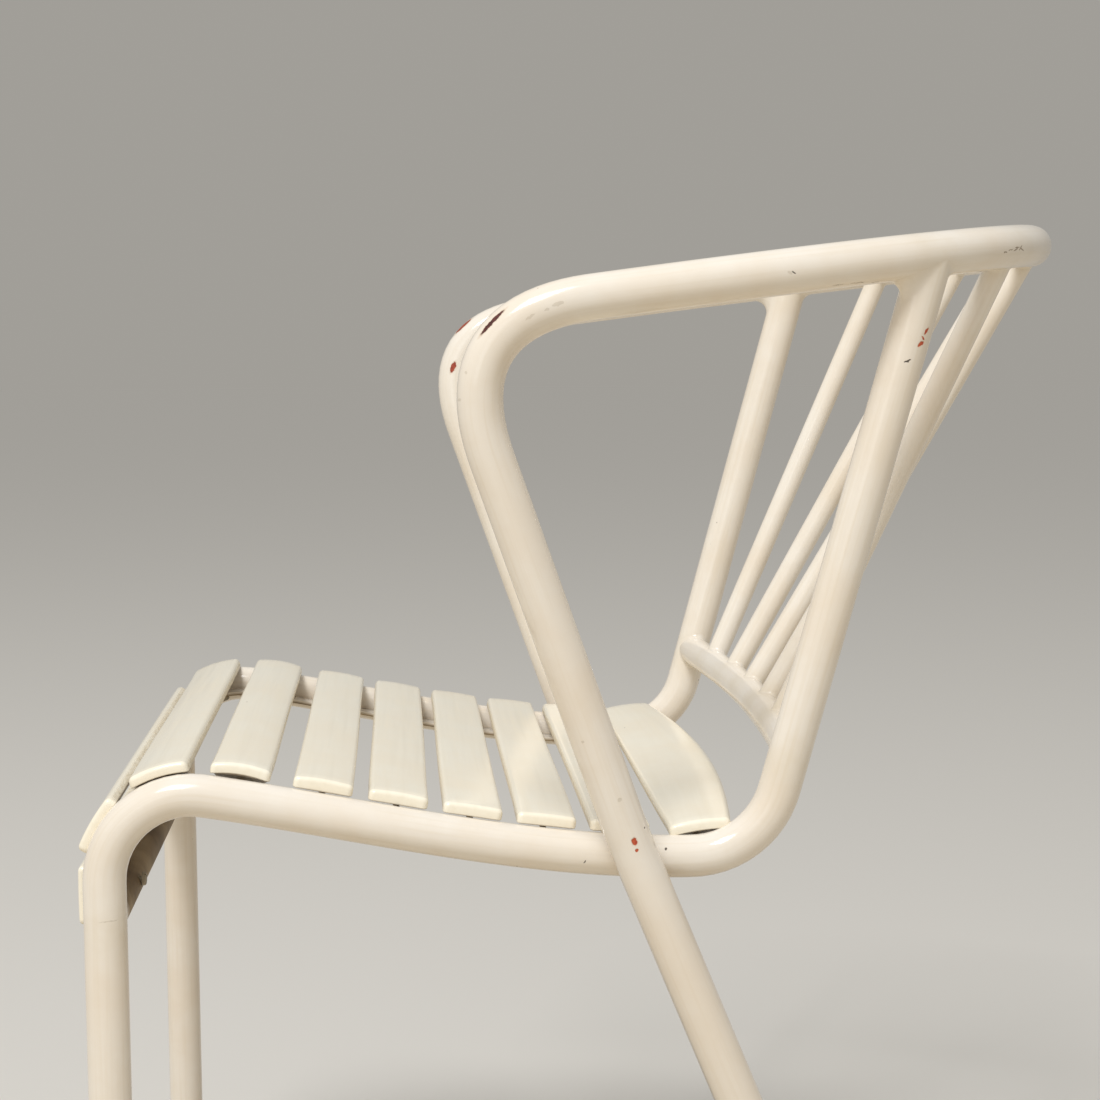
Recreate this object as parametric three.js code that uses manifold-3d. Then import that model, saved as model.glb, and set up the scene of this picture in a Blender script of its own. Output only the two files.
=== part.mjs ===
// A steel tube garden armchair with a slatted seat, cream enamel all over.
// Millimetres, Z up, the sitter faces -Y, the floor is Z = 0, left and right mirror across X = 0.
import * as THREE from "three";
import { mergeVertices } from "three/addons/utils/BufferGeometryUtils.js";
import Module from "manifold-3d";

const wasm = await Module();
wasm.setup();

// general sizes
// Air left between two pieces that touch, are welded or are screwed together.
const seatingGap = 0.3;
const armTubeDiameter = 26;
const frameTubeDiameter = 25;
const crossTubeDiameter = 22;
const spindleDiameter = 15;
const tubeSides = 16;
const spindleSides = 12;

// side frames: front leg, knee, seat rail, rear bend and back post in one tube
// Distance from the middle of the chair to each side frame.
const frameHalfSpacing = 198;
const frontLegY = -240;
const kneeCornerHeight = 449;
// Length of straight tube taken up by the knee on each side of its corner.
const kneeReach = 58;
const railFrontSlopeShare = 0.17;
const railFrontY = -184;
const railLowY = 97;
const railLowHeight = 398;
// Lengths of the two handles that shape the dip of the seat rail.
const railDipHandle = 94;
const rearBendReach = 40;
const postLeanShare = 0.275;
// How far the post's own end lies below the middle line of the hoop, within the cope.
const postEndDrop = 3;
const kneeStations = 10;
const railStations = 12;
const rearBendStations = 8;

// arm and back tube: one tube from the left rear foot over the arms and back to the right rear foot
const rearFootX = 213.5;
const rearFootY = 227.5;
// Where the rear leg passes outside the seat rail, and how much higher it kinks outward.
const crossingY = 63.8;
const crossingHeight = 398.5;
const elbowRise = 17;
const armFrontHalfSpan = 240;
const armFrontY = -46.5;
const armFrontHeight = 707.8;
const backReach = 385.7;
const backRise = 47.3;
// Shape of the hoop seen from above, and of its rise from the arms to the back.
const hoopFullnessPower = 4;
const riseEarlyShare = 1.14;
// How far along the hoop, from arm front to back, the back posts meet it.
const postTopShare = 0.72;
// Length of tube taken up by the front bend of the arm on each side of its corner.
const armBendReach = 82;
const armBendHandleShare = 0.66;
const elbowReach = 14;
const hoopStations = 20;
// Longest tube facet along the hoop.
const hoopFacetLength = 26;
const armBendStations = 10;

// lower back rail and spindles
const backRailHeight = 460;
const backRailBow = 9;
const backRailStations = 14;
const spindleCount = 5;
const spindleTopHalfSpan = 156;
const spindleFootHalfSpan = 127;

// front cross tube between the front legs, behind the lowest slat
// How far below the start of the knee its middle line lies.
const frontTubeDrop = 23;
// The lowest slat is screwed from behind through this tube, a little above the tube's middle.
const frontScrewRise = 4;
const frontScrewHalfSpan = 120;

// seat slats
const slatCount = 10;
const slatWidth = 34.5;
const slatThickness = 6.2;
// How far the slats stop short of the middle lines of the side frames.
const slatEndSetback = 1;
// The lowest slat ends just inside the front legs, clear of them.
const lowestSlatClearance = 3.5;
// Each slat is cupped across its width, some more than others, from the front of the seat to the rear.
const slatCupRise = 2.2;
const slatCupShares = [0.1, 0.6, 1, 1, 0.5, 0.4, 0.3, 0.3, 0.3, 0.6];
const slatEdgeRadius = 2.4;
const slatEndRadius = 2;
// How far below the start of the knee the middle of the lowest slat lies.
const lowestSlatDrop = 12.5;
// Gaps in front of the slats, measured along the frame tube, and even after the fifth slat.
const kneeSlatGap = 4.5;
const thirdSlatGap = 2;
const fourthSlatGap = 5.5;
const fifthSlatGap = 12.9;
const slatGap = 9.2;
// How deep the ends of the second slat are let into the knee.
const kneeSlatLetIn = 2;
const rearSlatGap = 14.8;
const rearSlatWidth = 35.5;
const rearSlatBulge = 15;

// ledge strips inside the seat rails, and the screws that hold the slats
const ledgeWidth = 15;
const ledgeThickness = 3;
// How far the top of the ledge lies below the middle line of the rail tube.
const ledgeDrop = 2;
const ledgeOverrun = 16;
// Clear length of ledge left off above the front cross tube.
const ledgeStartRoom = 4;
const screwInset = 7;
const screwShankDiameter = 4;
const screwHeadDiameter = 8.4;
const screwHeadHeight = 2.6;
const screwBite = 4;
const screwHeadTipShare = 0.7;
const screwHeadRimShare = 0.45;
// Share of the head's diameter at which the curl of the ledge below it is measured.
const curlReachShare = 0.65;
const screwSides = 8;

// rubber foot caps
const capWall = 2.6;
const capFloor = 5;
const capHeight = 24;
// Share of the wall that is rounded off around the foot and around the rim.
const capFootRoundShare = 0.4;
const capRimRoundShare = 0.5;
const capSides = 16;

// colours, read from the photo
const enamelColour = 0xece3d0;
const slatColour = 0xe9e2cc;
const screwColour = 0xd8d0bc;
const rubberColour = 0x3a3733;

const armRadius = armTubeDiameter / 2;
const frameRadius = frameTubeDiameter / 2;
const crossRadius = crossTubeDiameter / 2;
const spindleRadius = spindleDiameter / 2;
const kneeStart = kneeCornerHeight - kneeReach;
const frontTubeHeight = kneeStart - frontTubeDrop;
const slatLength = 2 * (frameHalfSpacing - slatEndSetback);
const lowestSlatLength = 2 * (frameHalfSpacing - frameRadius - lowestSlatClearance);
const capStart = capFloor + seatingGap;
const chair = new THREE.Group();
chair.name = "garden_armchair";

function vec(x, y, z) {
  return new THREE.Vector3(x, y, z);
}

function paint(color, roughness, metalness) {
  return new THREE.MeshStandardMaterial({ color, roughness, metalness });
}

const enamel = () => paint(enamelColour, 0.32, 0);
const slatPaint = () => paint(slatColour, 0.38, 0);
const screwPaint = () => paint(screwColour, 0.4, 0.5);
const rubber = () => paint(rubberColour, 0.85, 0);

function add(name, geometry, material) {
  const mesh = new THREE.Mesh(geometry, material);
  mesh.name = name;
  chair.add(mesh);
  return mesh;
}

// solid cutting
function toSolid(geometry) {
  const bare = geometry.clone();
  bare.deleteAttribute("normal");
  bare.deleteAttribute("uv");
  const welded = mergeVertices(bare, seatingGap / 1000);
  return new wasm.Manifold(new wasm.Mesh({
    numProp: 3,
    vertProperties: new Float32Array(welded.attributes.position.array),
    triVerts: new Uint32Array(welded.index.array),
  }));
}

function toGeometry(solid) {
  const mesh = solid.getMesh();
  const geometry = new THREE.BufferGeometry();
  const places = new Float32Array(mesh.numVert * 3);
  for (let i = 0; i < mesh.numVert; i += 1) {
    for (let k = 0; k < 3; k += 1) {
      places[i * 3 + k] = mesh.vertProperties[i * mesh.numProp + k];
    }
  }
  geometry.setAttribute("position", new THREE.BufferAttribute(places, 3));
  geometry.setIndex(new THREE.BufferAttribute(new Uint32Array(mesh.triVerts), 1));
  geometry.computeVertexNormals();
  return geometry;
}

function cut(geometry, cutters) {
  let solid = toSolid(geometry);
  for (const cutter of cutters) {
    solid = solid.subtract(toSolid(cutter));
  }
  return toGeometry(solid);
}

// bent tubes
// A path that passes exactly through a list of stations, one sweep step from each to the next.
class StationPath extends THREE.Curve {
  constructor(stations) {
    super();
    this.stations = stations;
  }

  getPoint(t) {
    const last = this.stations.length - 1;
    const place = Math.min(Math.max(t, 0), 1) * last;
    const i = Math.min(Math.floor(place), last - 1);
    return this.stations[i].clone().lerp(this.stations[i + 1], place - i);
  }

  getPointAt(u) {
    return this.getPoint(u);
  }

  getTangentAt(u) {
    const last = this.stations.length - 1;
    const i = Math.round(Math.min(Math.max(u, 0), 1) * last);
    const before = this.stations[Math.max(i - 1, 0)];
    const after = this.stations[Math.min(i + 1, last)];
    const here = this.stations[i];
    const towards = vec(0, 0, 0);
    if (i > 0) {
      towards.add(here.clone().sub(before).normalize());
    }
    if (i < last) {
      towards.add(after.clone().sub(here).normalize());
    }
    return towards.normalize();
  }

  getSpacedPoints(divisions) {
    const points = [];
    for (let d = 0; d <= divisions; d += 1) {
      points.push(this.getPoint(d / divisions));
    }
    return points;
  }
}

function ring(radius, sides) {
  const shape = new THREE.Shape();
  for (let k = 0; k < sides; k += 1) {
    const angle = (k + 0.5) * 2 * Math.PI / sides;
    if (k === 0) {
      shape.moveTo(radius * Math.cos(angle), radius * Math.sin(angle));
    } else {
      shape.lineTo(radius * Math.cos(angle), radius * Math.sin(angle));
    }
  }
  shape.closePath();
  return shape;
}

function sweep(shape, stations) {
  const path = new StationPath(stations);
  return new THREE.ExtrudeGeometry(shape, {
    steps: stations.length - 1,
    extrudePath: path,
    bevelEnabled: false,
  });
}

function tube(radius, sides, stations) {
  return sweep(ring(radius, sides), stations);
}

// Points of a round bend that replaces the corner between two straight runs.
function bend(before, corner, after, reach, count) {
  const back = before.clone().sub(corner).normalize();
  const ahead = after.clone().sub(corner).normalize();
  const half = back.angleTo(ahead) / 2;
  const radius = reach * Math.tan(half);
  const centre = corner.clone()
    .addScaledVector(back.clone().add(ahead).normalize(), radius / Math.sin(half));
  const first = corner.clone().addScaledVector(back, reach).sub(centre);
  const last = corner.clone().addScaledVector(ahead, reach).sub(centre);
  const turn = first.angleTo(last);
  const points = [];
  for (let i = 0; i <= count; i += 1) {
    const w = i / count;
    points.push(centre.clone()
      .addScaledVector(first, Math.sin((1 - w) * turn) / Math.sin(turn))
      .addScaledVector(last, Math.sin(w * turn) / Math.sin(turn)));
  }
  return points;
}

// Points of a cubic curve between two ends with two handles.
function handleCurve(a, b, c, d, count) {
  return new THREE.CubicBezierCurve3(a, b, c, d).getPoints(count);
}

function mirrored(points) {
  return points.map((p) => vec(-p.x, p.y, p.z));
}

// the middle line of a side frame
function postY(height) {
  const cornerY = railLowY + rearBendReach;
  return cornerY + postLeanShare * (height - railLowHeight);
}

// The post leans outward too, so that it ends under the middle of the hoop.
function frameLine(hoopEnd) {
  const x = frameHalfSpacing;
  const corner = vec(x, frontLegY, kneeCornerHeight);
  const railEndHeight = kneeCornerHeight - railFrontSlopeShare * (railFrontY - frontLegY);
  const railStart = vec(x, railFrontY, railEndHeight);
  const foot = vec(x, frontLegY, capStart);
  const knee = bend(foot, corner, railStart, kneeReach, kneeStations);
  const railLow = vec(x, railLowY, railLowHeight);
  const kneeEnd = knee[knee.length - 1];
  const rail = handleCurve(
    kneeEnd,
    kneeEnd.clone().add(vec(0, railDipHandle, -railFrontSlopeShare * railDipHandle)),
    railLow.clone().add(vec(0, -railDipHandle, 0)),
    railLow,
    railStations,
  );
  const rearCorner = vec(x, railLowY + rearBendReach, railLowHeight);
  const topHeight = hoopEnd.z - postEndDrop;
  const top = vec(hoopEnd.x, postY(topHeight), topHeight);
  const rear = bend(railLow, rearCorner, top, rearBendReach, rearBendStations);
  return [foot, ...knee, ...rail.slice(1), ...rear.slice(1), top];
}

// the middle line of the arm and back tube, left half first
function hoopPoint(share) {
  const climb = riseEarlyShare * share + (1 - riseEarlyShare) * share * share;
  const height = armFrontHeight + backRise * climb;
  const x = armFrontHalfSpan * Math.sqrt(Math.max(1 - share ** hoopFullnessPower, 0));
  return vec(x, armFrontY + backReach * share, height);
}

function armHalfLine() {
  // Out to the foot cap along the straight rear leg.
  const crossing = vec(frameHalfSpacing + frameRadius + armRadius + seatingGap, crossingY, crossingHeight);
  const foot = vec(rearFootX, rearFootY, 0);
  const elbowCorner = foot.clone().lerp(crossing, (crossingHeight + elbowRise) / crossingHeight);
  const corner = hoopPoint(0);
  const elbow = bend(foot, elbowCorner, corner, elbowReach, 3);
  // The hoop, dense near the middle of the back where it turns fastest.
  const hoop = [];
  for (let i = 0; i <= hoopStations * 4; i += 1) {
    const w = i / (hoopStations * 4);
    hoop.push(hoopPoint(1 - (1 - w) ** 2));
  }
  let walked = 0;
  let k = 0;
  while (walked < armBendReach) {
    walked += hoop[k].distanceTo(hoop[k + 1]);
    k += 1;
  }
  const hoopStart = hoop[k];
  const inward = hoop[k - 1].clone().sub(hoop[k]).normalize();
  const outward = corner.clone().sub(elbowCorner).normalize();
  const bendStart = corner.clone().addScaledVector(outward, -armBendReach);
  const handle = armBendReach * armBendHandleShare;
  const front = handleCurve(
    bendStart,
    bendStart.clone().addScaledVector(outward, handle),
    hoopStart.clone().addScaledVector(inward, handle),
    hoopStart,
    armBendStations,
  );
  const rest = [];
  let since = 0;
  for (let i = k + 1; i < hoop.length; i += 1) {
    since += hoop[i].distanceTo(hoop[i - 1]);
    const last = i === hoop.length - 1;
    if (since > hoopFacetLength || last) {
      rest.push(hoop[i]);
      since = 0;
    }
  }
  return [foot, ...elbow, ...front, ...rest];
}

const armHalf = armHalfLine();
const armLine = [...armHalf, ...mirrored(armHalf.slice(0, -1)).reverse()];
// The leaning rear legs are sawn off level, just above the floor of their caps.
const sawSize = armFrontHalfSpan * 4;
const saw = new THREE.BoxGeometry(sawSize, sawSize, sawSize).translate(0, 0, capStart - sawSize / 2);
add("arm_back_tube", cut(tube(armRadius, tubeSides, armLine), [saw]), enamel());
const armKeepOut = tube(armRadius + seatingGap, tubeSides, armLine);

// side frames, coped under the arm tube
const frameRight = frameLine(hoopPoint(postTopShare));
const frameLines = { left: frameRight, right: mirrored(frameRight) };
for (const side of ["left", "right"]) {
  const whole = tube(frameRadius, tubeSides, frameLines[side]);
  add(`side_frame_${side}`, cut(whole, [armKeepOut]), enamel());
}
const frameKeepOuts = ["left", "right"].map((side) => (
  tube(frameRadius + seatingGap, tubeSides, frameLines[side])
));

// lower back rail, bowed rearward between the back posts
function backRailPoint(share) {
  const y = postY(backRailHeight) + backRailBow * (1 - share * share);
  return vec(frameHalfSpacing * share, y, backRailHeight);
}

const backRailLine = [];
for (let i = 0; i <= backRailStations; i += 1) {
  backRailLine.push(backRailPoint(1 - 2 * i / backRailStations));
}
add("lower_back_rail", cut(tube(crossRadius, tubeSides, backRailLine), frameKeepOuts), enamel());
const backRailKeepOut = tube(crossRadius + seatingGap, tubeSides, backRailLine);

// spindles, from the lower back rail up to the underside of the hoop
function hoopAt(x) {
  const share = (1 - (x / armFrontHalfSpan) ** 2) ** (1 / hoopFullnessPower);
  const point = hoopPoint(share);
  return vec(x, point.y, point.z);
}

for (let i = 0; i < spindleCount; i += 1) {
  const share = 1 - 2 * i / (spindleCount - 1);
  const foot = backRailPoint(share * spindleFootHalfSpan / frameHalfSpacing);
  const top = hoopAt(share * spindleTopHalfSpan);
  const straight = tube(spindleRadius, spindleSides, [foot, top]);
  add(`spindle_${i + 1}`, cut(straight, [armKeepOut, backRailKeepOut]), enamel());
}

// front cross tube, its middle line
const frontTubeLine = [
  vec(frameHalfSpacing, frontLegY, frontTubeHeight),
  vec(-frameHalfSpacing, frontLegY, frontTubeHeight),
];

// places along the side frame
const stationsAt = [0];
for (let i = 1; i < frameRight.length; i += 1) {
  stationsAt.push(stationsAt[i - 1] + frameRight[i].distanceTo(frameRight[i - 1]));
}

// Middle-line point, running direction and upward normal at a distance from the floor.
function frameAt(distance) {
  const along = distance - capStart;
  let i = 1;
  while (i < frameRight.length - 1 && stationsAt[i] < along) {
    i += 1;
  }
  const w = (along - stationsAt[i - 1]) / (stationsAt[i] - stationsAt[i - 1]);
  const point = frameRight[i - 1].clone().lerp(frameRight[i], w);
  const smooth = (k) => {
    const a = frameRight[Math.max(k - 1, 0)];
    const b = frameRight[Math.min(k + 1, frameRight.length - 1)];
    return b.clone().sub(a).normalize();
  };
  const run = smooth(i - 1).lerp(smooth(i), w).normalize();
  return { point, run, up: vec(0, -run.z, run.y) };
}

// The middle of each slat, as a distance along the frame tube from the floor.
const lowestSlatStation = kneeStart - lowestSlatDrop;
const slatStations = [lowestSlatStation];
const frontGaps = [kneeSlatGap, thirdSlatGap, fourthSlatGap, fifthSlatGap];
while (slatStations.length < slatCount - 1) {
  const last = slatStations.length - 1;
  const gap = last < frontGaps.length ? frontGaps[last] : slatGap;
  slatStations.push(slatStations[last] + slatWidth + gap);
}
slatStations.push(slatStations[slatCount - 2] + (slatWidth + rearSlatWidth) / 2 + rearSlatGap);

// slats
function slatWidthOf(i) {
  return i === slatCount - 1 ? rearSlatWidth : slatWidth;
}

function slatLengthOf(i) {
  return i === 0 ? lowestSlatLength : slatLength;
}

// Height of a slat's cupped underside above its lower edges, across the slat.
function cupAt(i, across) {
  const share = 2 * across / slatWidthOf(i);
  return slatCupRise * slatCupShares[i] * (1 - share * share);
}

// A slat's outline across its width: one thickness all over, cupped, with rounded upper edges.
function slatOutline(i) {
  const width = slatWidthOf(i);
  const half = width / 2;
  const lower = [];
  const cupSteps = 8;
  for (let k = 0; k <= cupSteps; k += 1) {
    const across = -half + width * k / cupSteps;
    lower.push([across, cupAt(i, across)]);
  }
  const upper = [];
  const cornerSteps = 3;
  const flat = half - slatEdgeRadius;
  const shoulder = slatThickness + cupAt(i, flat) - slatEdgeRadius;
  for (let k = 0; k <= cornerSteps; k += 1) {
    const angle = Math.PI / 2 * k / cornerSteps;
    upper.push([flat + slatEdgeRadius * Math.cos(angle), shoulder + slatEdgeRadius * Math.sin(angle)]);
  }
  const crownSteps = 6;
  for (let k = 1; k < crownSteps; k += 1) {
    const across = flat - 2 * flat * k / crownSteps;
    upper.push([across, slatThickness + cupAt(i, across)]);
  }
  for (let k = cornerSteps; k >= 0; k -= 1) {
    const angle = Math.PI / 2 * k / cornerSteps;
    upper.push([-flat - slatEdgeRadius * Math.cos(angle), shoulder + slatEdgeRadius * Math.sin(angle)]);
  }
  return [...lower, ...upper];
}

// The second slat and the rearmost are coped to sit in the bends of the side frames.
function isCoped(i) {
  return i === 1 || i === slatCount - 1;
}

// Lift of the slat's lower edges above the side frame's middle line. The lowest slat lies on the
// front cross tube, the coped ones are let into the bends, and the rest just clear the rail.
function slatLift(i) {
  const distance = slatStations[i];
  const width = slatWidthOf(i);
  const place = frameAt(distance);
  const clear = frameRadius + seatingGap;
  if (i === 0) {
    return crossRadius + seatingGap;
  }
  if (i === slatCount - 1) {
    return clear;
  }
  let lift = clear - slatCupRise;
  const reach = width / 2 + frameRadius;
  const step = seatingGap * 2;
  for (let s = -reach; s <= reach; s += step) {
    const other = frameAt(distance + s).point.sub(place.point);
    const a = other.dot(place.run);
    const b = other.dot(place.up);
    for (let across = -width / 2; across <= width / 2; across += step) {
      const off = across - a;
      if (Math.abs(off) < clear) {
        const need = b + Math.sqrt(clear * clear - off * off) - cupAt(i, across);
        lift = Math.max(lift, need);
      }
    }
  }
  return i === 1 ? lift - kneeSlatLetIn : lift;
}

// Moves a shape drawn with x across the slat, y up and z along the slat onto its place on the frame.
function placeOnFrame(geometry, distance) {
  const place = frameAt(distance);
  const basis = new THREE.Matrix4().makeBasis(place.run, place.up, vec(1, 0, 0));
  basis.setPosition(0, place.point.y, place.point.z);
  return geometry.applyMatrix4(basis);
}

function slatBody(i, lift) {
  const width = slatWidthOf(i);
  const length = slatLengthOf(i);
  const bulge = i === slatCount - 1 ? rearSlatBulge : 0;
  const sections = bulge > 0 ? 12 : 1;
  const outline = slatOutline(i);
  const shape = new THREE.Shape(outline.map(([a, b]) => new THREE.Vector2(a, b + lift)));
  if (sections === 1) {
    const body = new THREE.ExtrudeGeometry(shape, {
      depth: length - 2 * slatEndRadius,
      steps: 1,
      bevelEnabled: true,
      bevelThickness: slatEndRadius,
      bevelSize: slatEndRadius / 2,
      bevelOffset: -slatEndRadius / 2,
      bevelSegments: 2,
    });
    return body.translate(0, 0, -length / 2 + slatEndRadius);
  }
  const body = new THREE.ExtrudeGeometry(shape, {
    depth: length,
    steps: sections,
    bevelEnabled: false,
  });
  body.translate(0, 0, -length / 2);
  const spots = body.attributes.position;
  for (let k = 0; k < spots.count; k += 1) {
    const share = 2 * spots.getZ(k) / length;
    const across = (spots.getX(k) + width / 2) / width;
    spots.setX(k, spots.getX(k) + Math.max(across, 0) * bulge * (1 - share * share));
  }
  return body;
}

// screws: head under the ledge strip, shank up into a blind hole in the slat
function pin(radius, bottom, top) {
  const profile = [
    new THREE.Vector2(0, bottom),
    new THREE.Vector2(radius, bottom),
    new THREE.Vector2(radius, top),
    new THREE.Vector2(0, top),
  ];
  return new THREE.LatheGeometry(profile, screwSides);
}

function screwBody(headTop, tip) {
  const head = screwHeadDiameter / 2;
  const shank = screwShankDiameter / 2;
  const profile = [
    new THREE.Vector2(0, headTop - screwHeadHeight),
    new THREE.Vector2(head * screwHeadTipShare, headTop - screwHeadHeight),
    new THREE.Vector2(head, headTop - screwHeadHeight * screwHeadRimShare),
    new THREE.Vector2(head, headTop),
    new THREE.Vector2(shank, headTop),
    new THREE.Vector2(shank, tip - shank),
    new THREE.Vector2(0, tip),
  ];
  return new THREE.LatheGeometry(profile, screwSides);
}

const ledgeInnerX = frameHalfSpacing - frameRadius - seatingGap - ledgeWidth;
const screwX = ledgeInnerX + screwInset;
const ledgeTop = -ledgeDrop;
const ledgeUnder = ledgeTop - ledgeThickness;
const holeRadius = screwShankDiameter / 2 + seatingGap;
const screwTips = [];

// How far the rail curls away below a flat screw head at a distance from the floor.
function curlUnder(distance) {
  const place = frameAt(distance);
  let curl = 0;
  for (const side of [-1, 1]) {
    const other = frameAt(distance + side * screwHeadDiameter * curlReachShare).point.sub(place.point);
    curl = Math.max(curl, -other.dot(place.up));
  }
  return curl;
}

// Where the screws of a slat stand: along the chair's width, and off the slat's middle.
function screwSpot(i) {
  if (i === 0) {
    const across = frontTubeHeight + frontScrewRise - lowestSlatStation;
    return { x: frontScrewHalfSpan, across, seat: -crossRadius - seatingGap };
  }
  return { x: screwX, across: 0, seat: ledgeUnder - seatingGap - curlUnder(slatStations[i]) };
}

slatStations.forEach((distance, i) => {
  const lift = slatLift(i);
  const spot = screwSpot(i);
  const tip = lift + cupAt(i, spot.across) + screwBite;
  screwTips.push(tip);
  const body = slatBody(i, lift);
  const holes = [-1, 1].map((side) => (
    pin(holeRadius, ledgeTop, tip + seatingGap).translate(spot.across, 0, side * spot.x)
  ));
  const placed = placeOnFrame(cut(body, holes), distance);
  const number = String(i + 1).padStart(2, "0");
  add(`slat_${number}`, isCoped(i) ? cut(placed, frameKeepOuts) : placed, slatPaint());
});

// front cross tube, drilled for the screws of the lowest slat
const frontScrew = screwSpot(0);
const frontHoles = [-1, 1].map((side) => placeOnFrame(
  pin(holeRadius, -frameRadius, frameRadius).translate(frontScrew.across, 0, side * frontScrew.x),
  lowestSlatStation,
));
const frontTube = tube(crossRadius, tubeSides, frontTubeLine);
add("front_cross_tube", cut(frontTube, [...frameKeepOuts, ...frontHoles]), enamel());

// ledge strips
function ledgeLine(from, to) {
  const points = [];
  const steps = 56;
  for (let i = 0; i <= steps; i += 1) {
    const place = frameAt(from + (to - from) * i / steps);
    const middle = place.point.clone().addScaledVector(place.up, (ledgeTop + ledgeUnder) / 2);
    points.push(vec(0, middle.y, middle.z));
  }
  return points;
}

// A flat bar built station by station, broad across the chair and thin across the rail.
function flatBar(centreX, width, thickness, points) {
  const places = [];
  const faces = [];
  points.forEach((point, i) => {
    const a = points[Math.max(i - 1, 0)];
    const b = points[Math.min(i + 1, points.length - 1)];
    const run = b.clone().sub(a).normalize();
    const up = vec(0, -run.z, run.y);
    for (const [sx, su] of [[-1, -1], [1, -1], [1, 1], [-1, 1]]) {
      const corner = point.clone().addScaledVector(up, su * thickness / 2);
      places.push(centreX + sx * width / 2, corner.y, corner.z);
    }
  });
  const last = points.length - 1;
  for (let i = 0; i < last; i += 1) {
    for (let k = 0; k < 4; k += 1) {
      const a = i * 4 + k;
      const b = i * 4 + (k + 1) % 4;
      faces.push(a, b, b + 4, a, b + 4, a + 4);
    }
  }
  faces.push(0, 2, 1, 0, 3, 2);
  faces.push(last * 4, last * 4 + 1, last * 4 + 2, last * 4, last * 4 + 2, last * 4 + 3);
  const geometry = new THREE.BufferGeometry();
  geometry.setAttribute("position", new THREE.Float32BufferAttribute(places, 3));
  geometry.setIndex(faces);
  return geometry;
}

function facedOut(geometry) {
  const solid = toSolid(geometry);
  if (solid.volume() < 0) {
    const index = geometry.index;
    for (let i = 0; i < index.count; i += 3) {
      const keep = index.getX(i);
      index.setX(i, index.getX(i + 1));
      index.setX(i + 1, keep);
    }
  }
  return geometry;
}

const ledgeFrom = frontTubeHeight + crossRadius + ledgeStartRoom;
const ledgeTo = slatStations[slatCount - 1] + ledgeOverrun;
for (const [side, sign] of [["left", 1], ["right", -1]]) {
  const centreX = sign * (ledgeInnerX + ledgeWidth / 2);
  const bar = facedOut(flatBar(centreX, ledgeWidth, ledgeThickness, ledgeLine(ledgeFrom, ledgeTo)));
  const cutters = slatStations.slice(1).map((distance) => (
    placeOnFrame(
      pin(holeRadius, ledgeUnder - ledgeThickness, ledgeTop + ledgeThickness)
        .translate(0, 0, sign * screwX),
      distance,
    )
  ));
  add(`ledge_${side}`, cut(bar, cutters), enamel());
}

slatStations.forEach((distance, i) => {
  const number = String(i + 1).padStart(2, "0");
  for (const [side, sign] of [["left", 1], ["right", -1]]) {
    const spot = screwSpot(i);
    const body = screwBody(spot.seat, screwTips[i]).translate(spot.across, 0, sign * spot.x);
    add(`screw_${number}_${side}`, placeOnFrame(body, distance), screwPaint());
  }
});

// foot caps
// A cup that holds the end of a leg, its floor on Z = 0, leaning with the leg.
function footCap(legRadius, start, towards) {
  const outer = legRadius + seatingGap + capWall;
  const inner = legRadius + seatingGap;
  const lean = (height) => start.clone()
    .addScaledVector(towards, (height - start.z) / towards.z);
  // A level section through a leaning round leg is longer along the lean.
  const stretch = 1 / towards.z - 1;
  const level = vec(towards.x, towards.y, 0).normalize();
  const profile = [
    [0, 0],
    [outer - capWall * capFootRoundShare, 0],
    [outer, capWall * capFootRoundShare],
    [outer, capHeight - capWall * capRimRoundShare],
    [outer - capWall * capRimRoundShare, capHeight],
    [inner, capHeight],
    [inner, capFloor],
    [0, capFloor],
  ].map(([r, z]) => new THREE.Vector2(r, z));
  const cup = new THREE.LatheGeometry(profile, capSides);
  cup.rotateX(Math.PI / 2);
  const spots = cup.attributes.position;
  for (let i = 0; i < spots.count; i += 1) {
    const height = spots.getZ(i);
    const off = vec(spots.getX(i), spots.getY(i), 0);
    off.addScaledVector(level, off.dot(level) * stretch);
    const axis = lean(height);
    spots.setXYZ(i, off.x + axis.x, off.y + axis.y, height);
  }
  return cup;
}

const legs = {
  front: [frameRadius, frameRight],
  rear: [armRadius, armHalf],
};
for (const [place, [radius, line]] of Object.entries(legs)) {
  const towards = line[1].clone().sub(line[0]).normalize();
  for (const [side, sign] of [["left", 1], ["right", -1]]) {
    const start = vec(sign * line[0].x, line[0].y, line[0].z);
    const lean = vec(sign * towards.x, towards.y, towards.z);
    add(`foot_cap_${place}_${side}`, footCap(radius, start, lean), rubber());
  }
}

// stand the chair with its outline centred over the origin
const whole = new THREE.Box3();
for (const mesh of chair.children) {
  mesh.geometry.computeBoundingBox();
  whole.union(mesh.geometry.boundingBox);
}
const middle = whole.getCenter(vec(0, 0, 0));
for (const mesh of chair.children) {
  mesh.geometry.translate(-middle.x, -middle.y, -whole.min.z);
}

export default chair;
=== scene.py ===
# %% [markdown]
# # A garden armchair of painted steel tube
#
# The real chair is bent from round steel tube and brushed with cream gloss enamel. One long tube
# makes the rear legs, the arms and the hoop of the back. Two more make the front legs, the seat
# rails and the back posts. Ten painted wooden slats lie across the rails.
#
# The solid model of the chair gives every place and size, so it is loaded first. Each of its
# pieces is then replaced by one with round tubes, welds, soft edges and a worn painted finish.

# %% Load the solid chair
import math

import bpy
import numpy as np
from mathutils import Matrix, Vector


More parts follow.
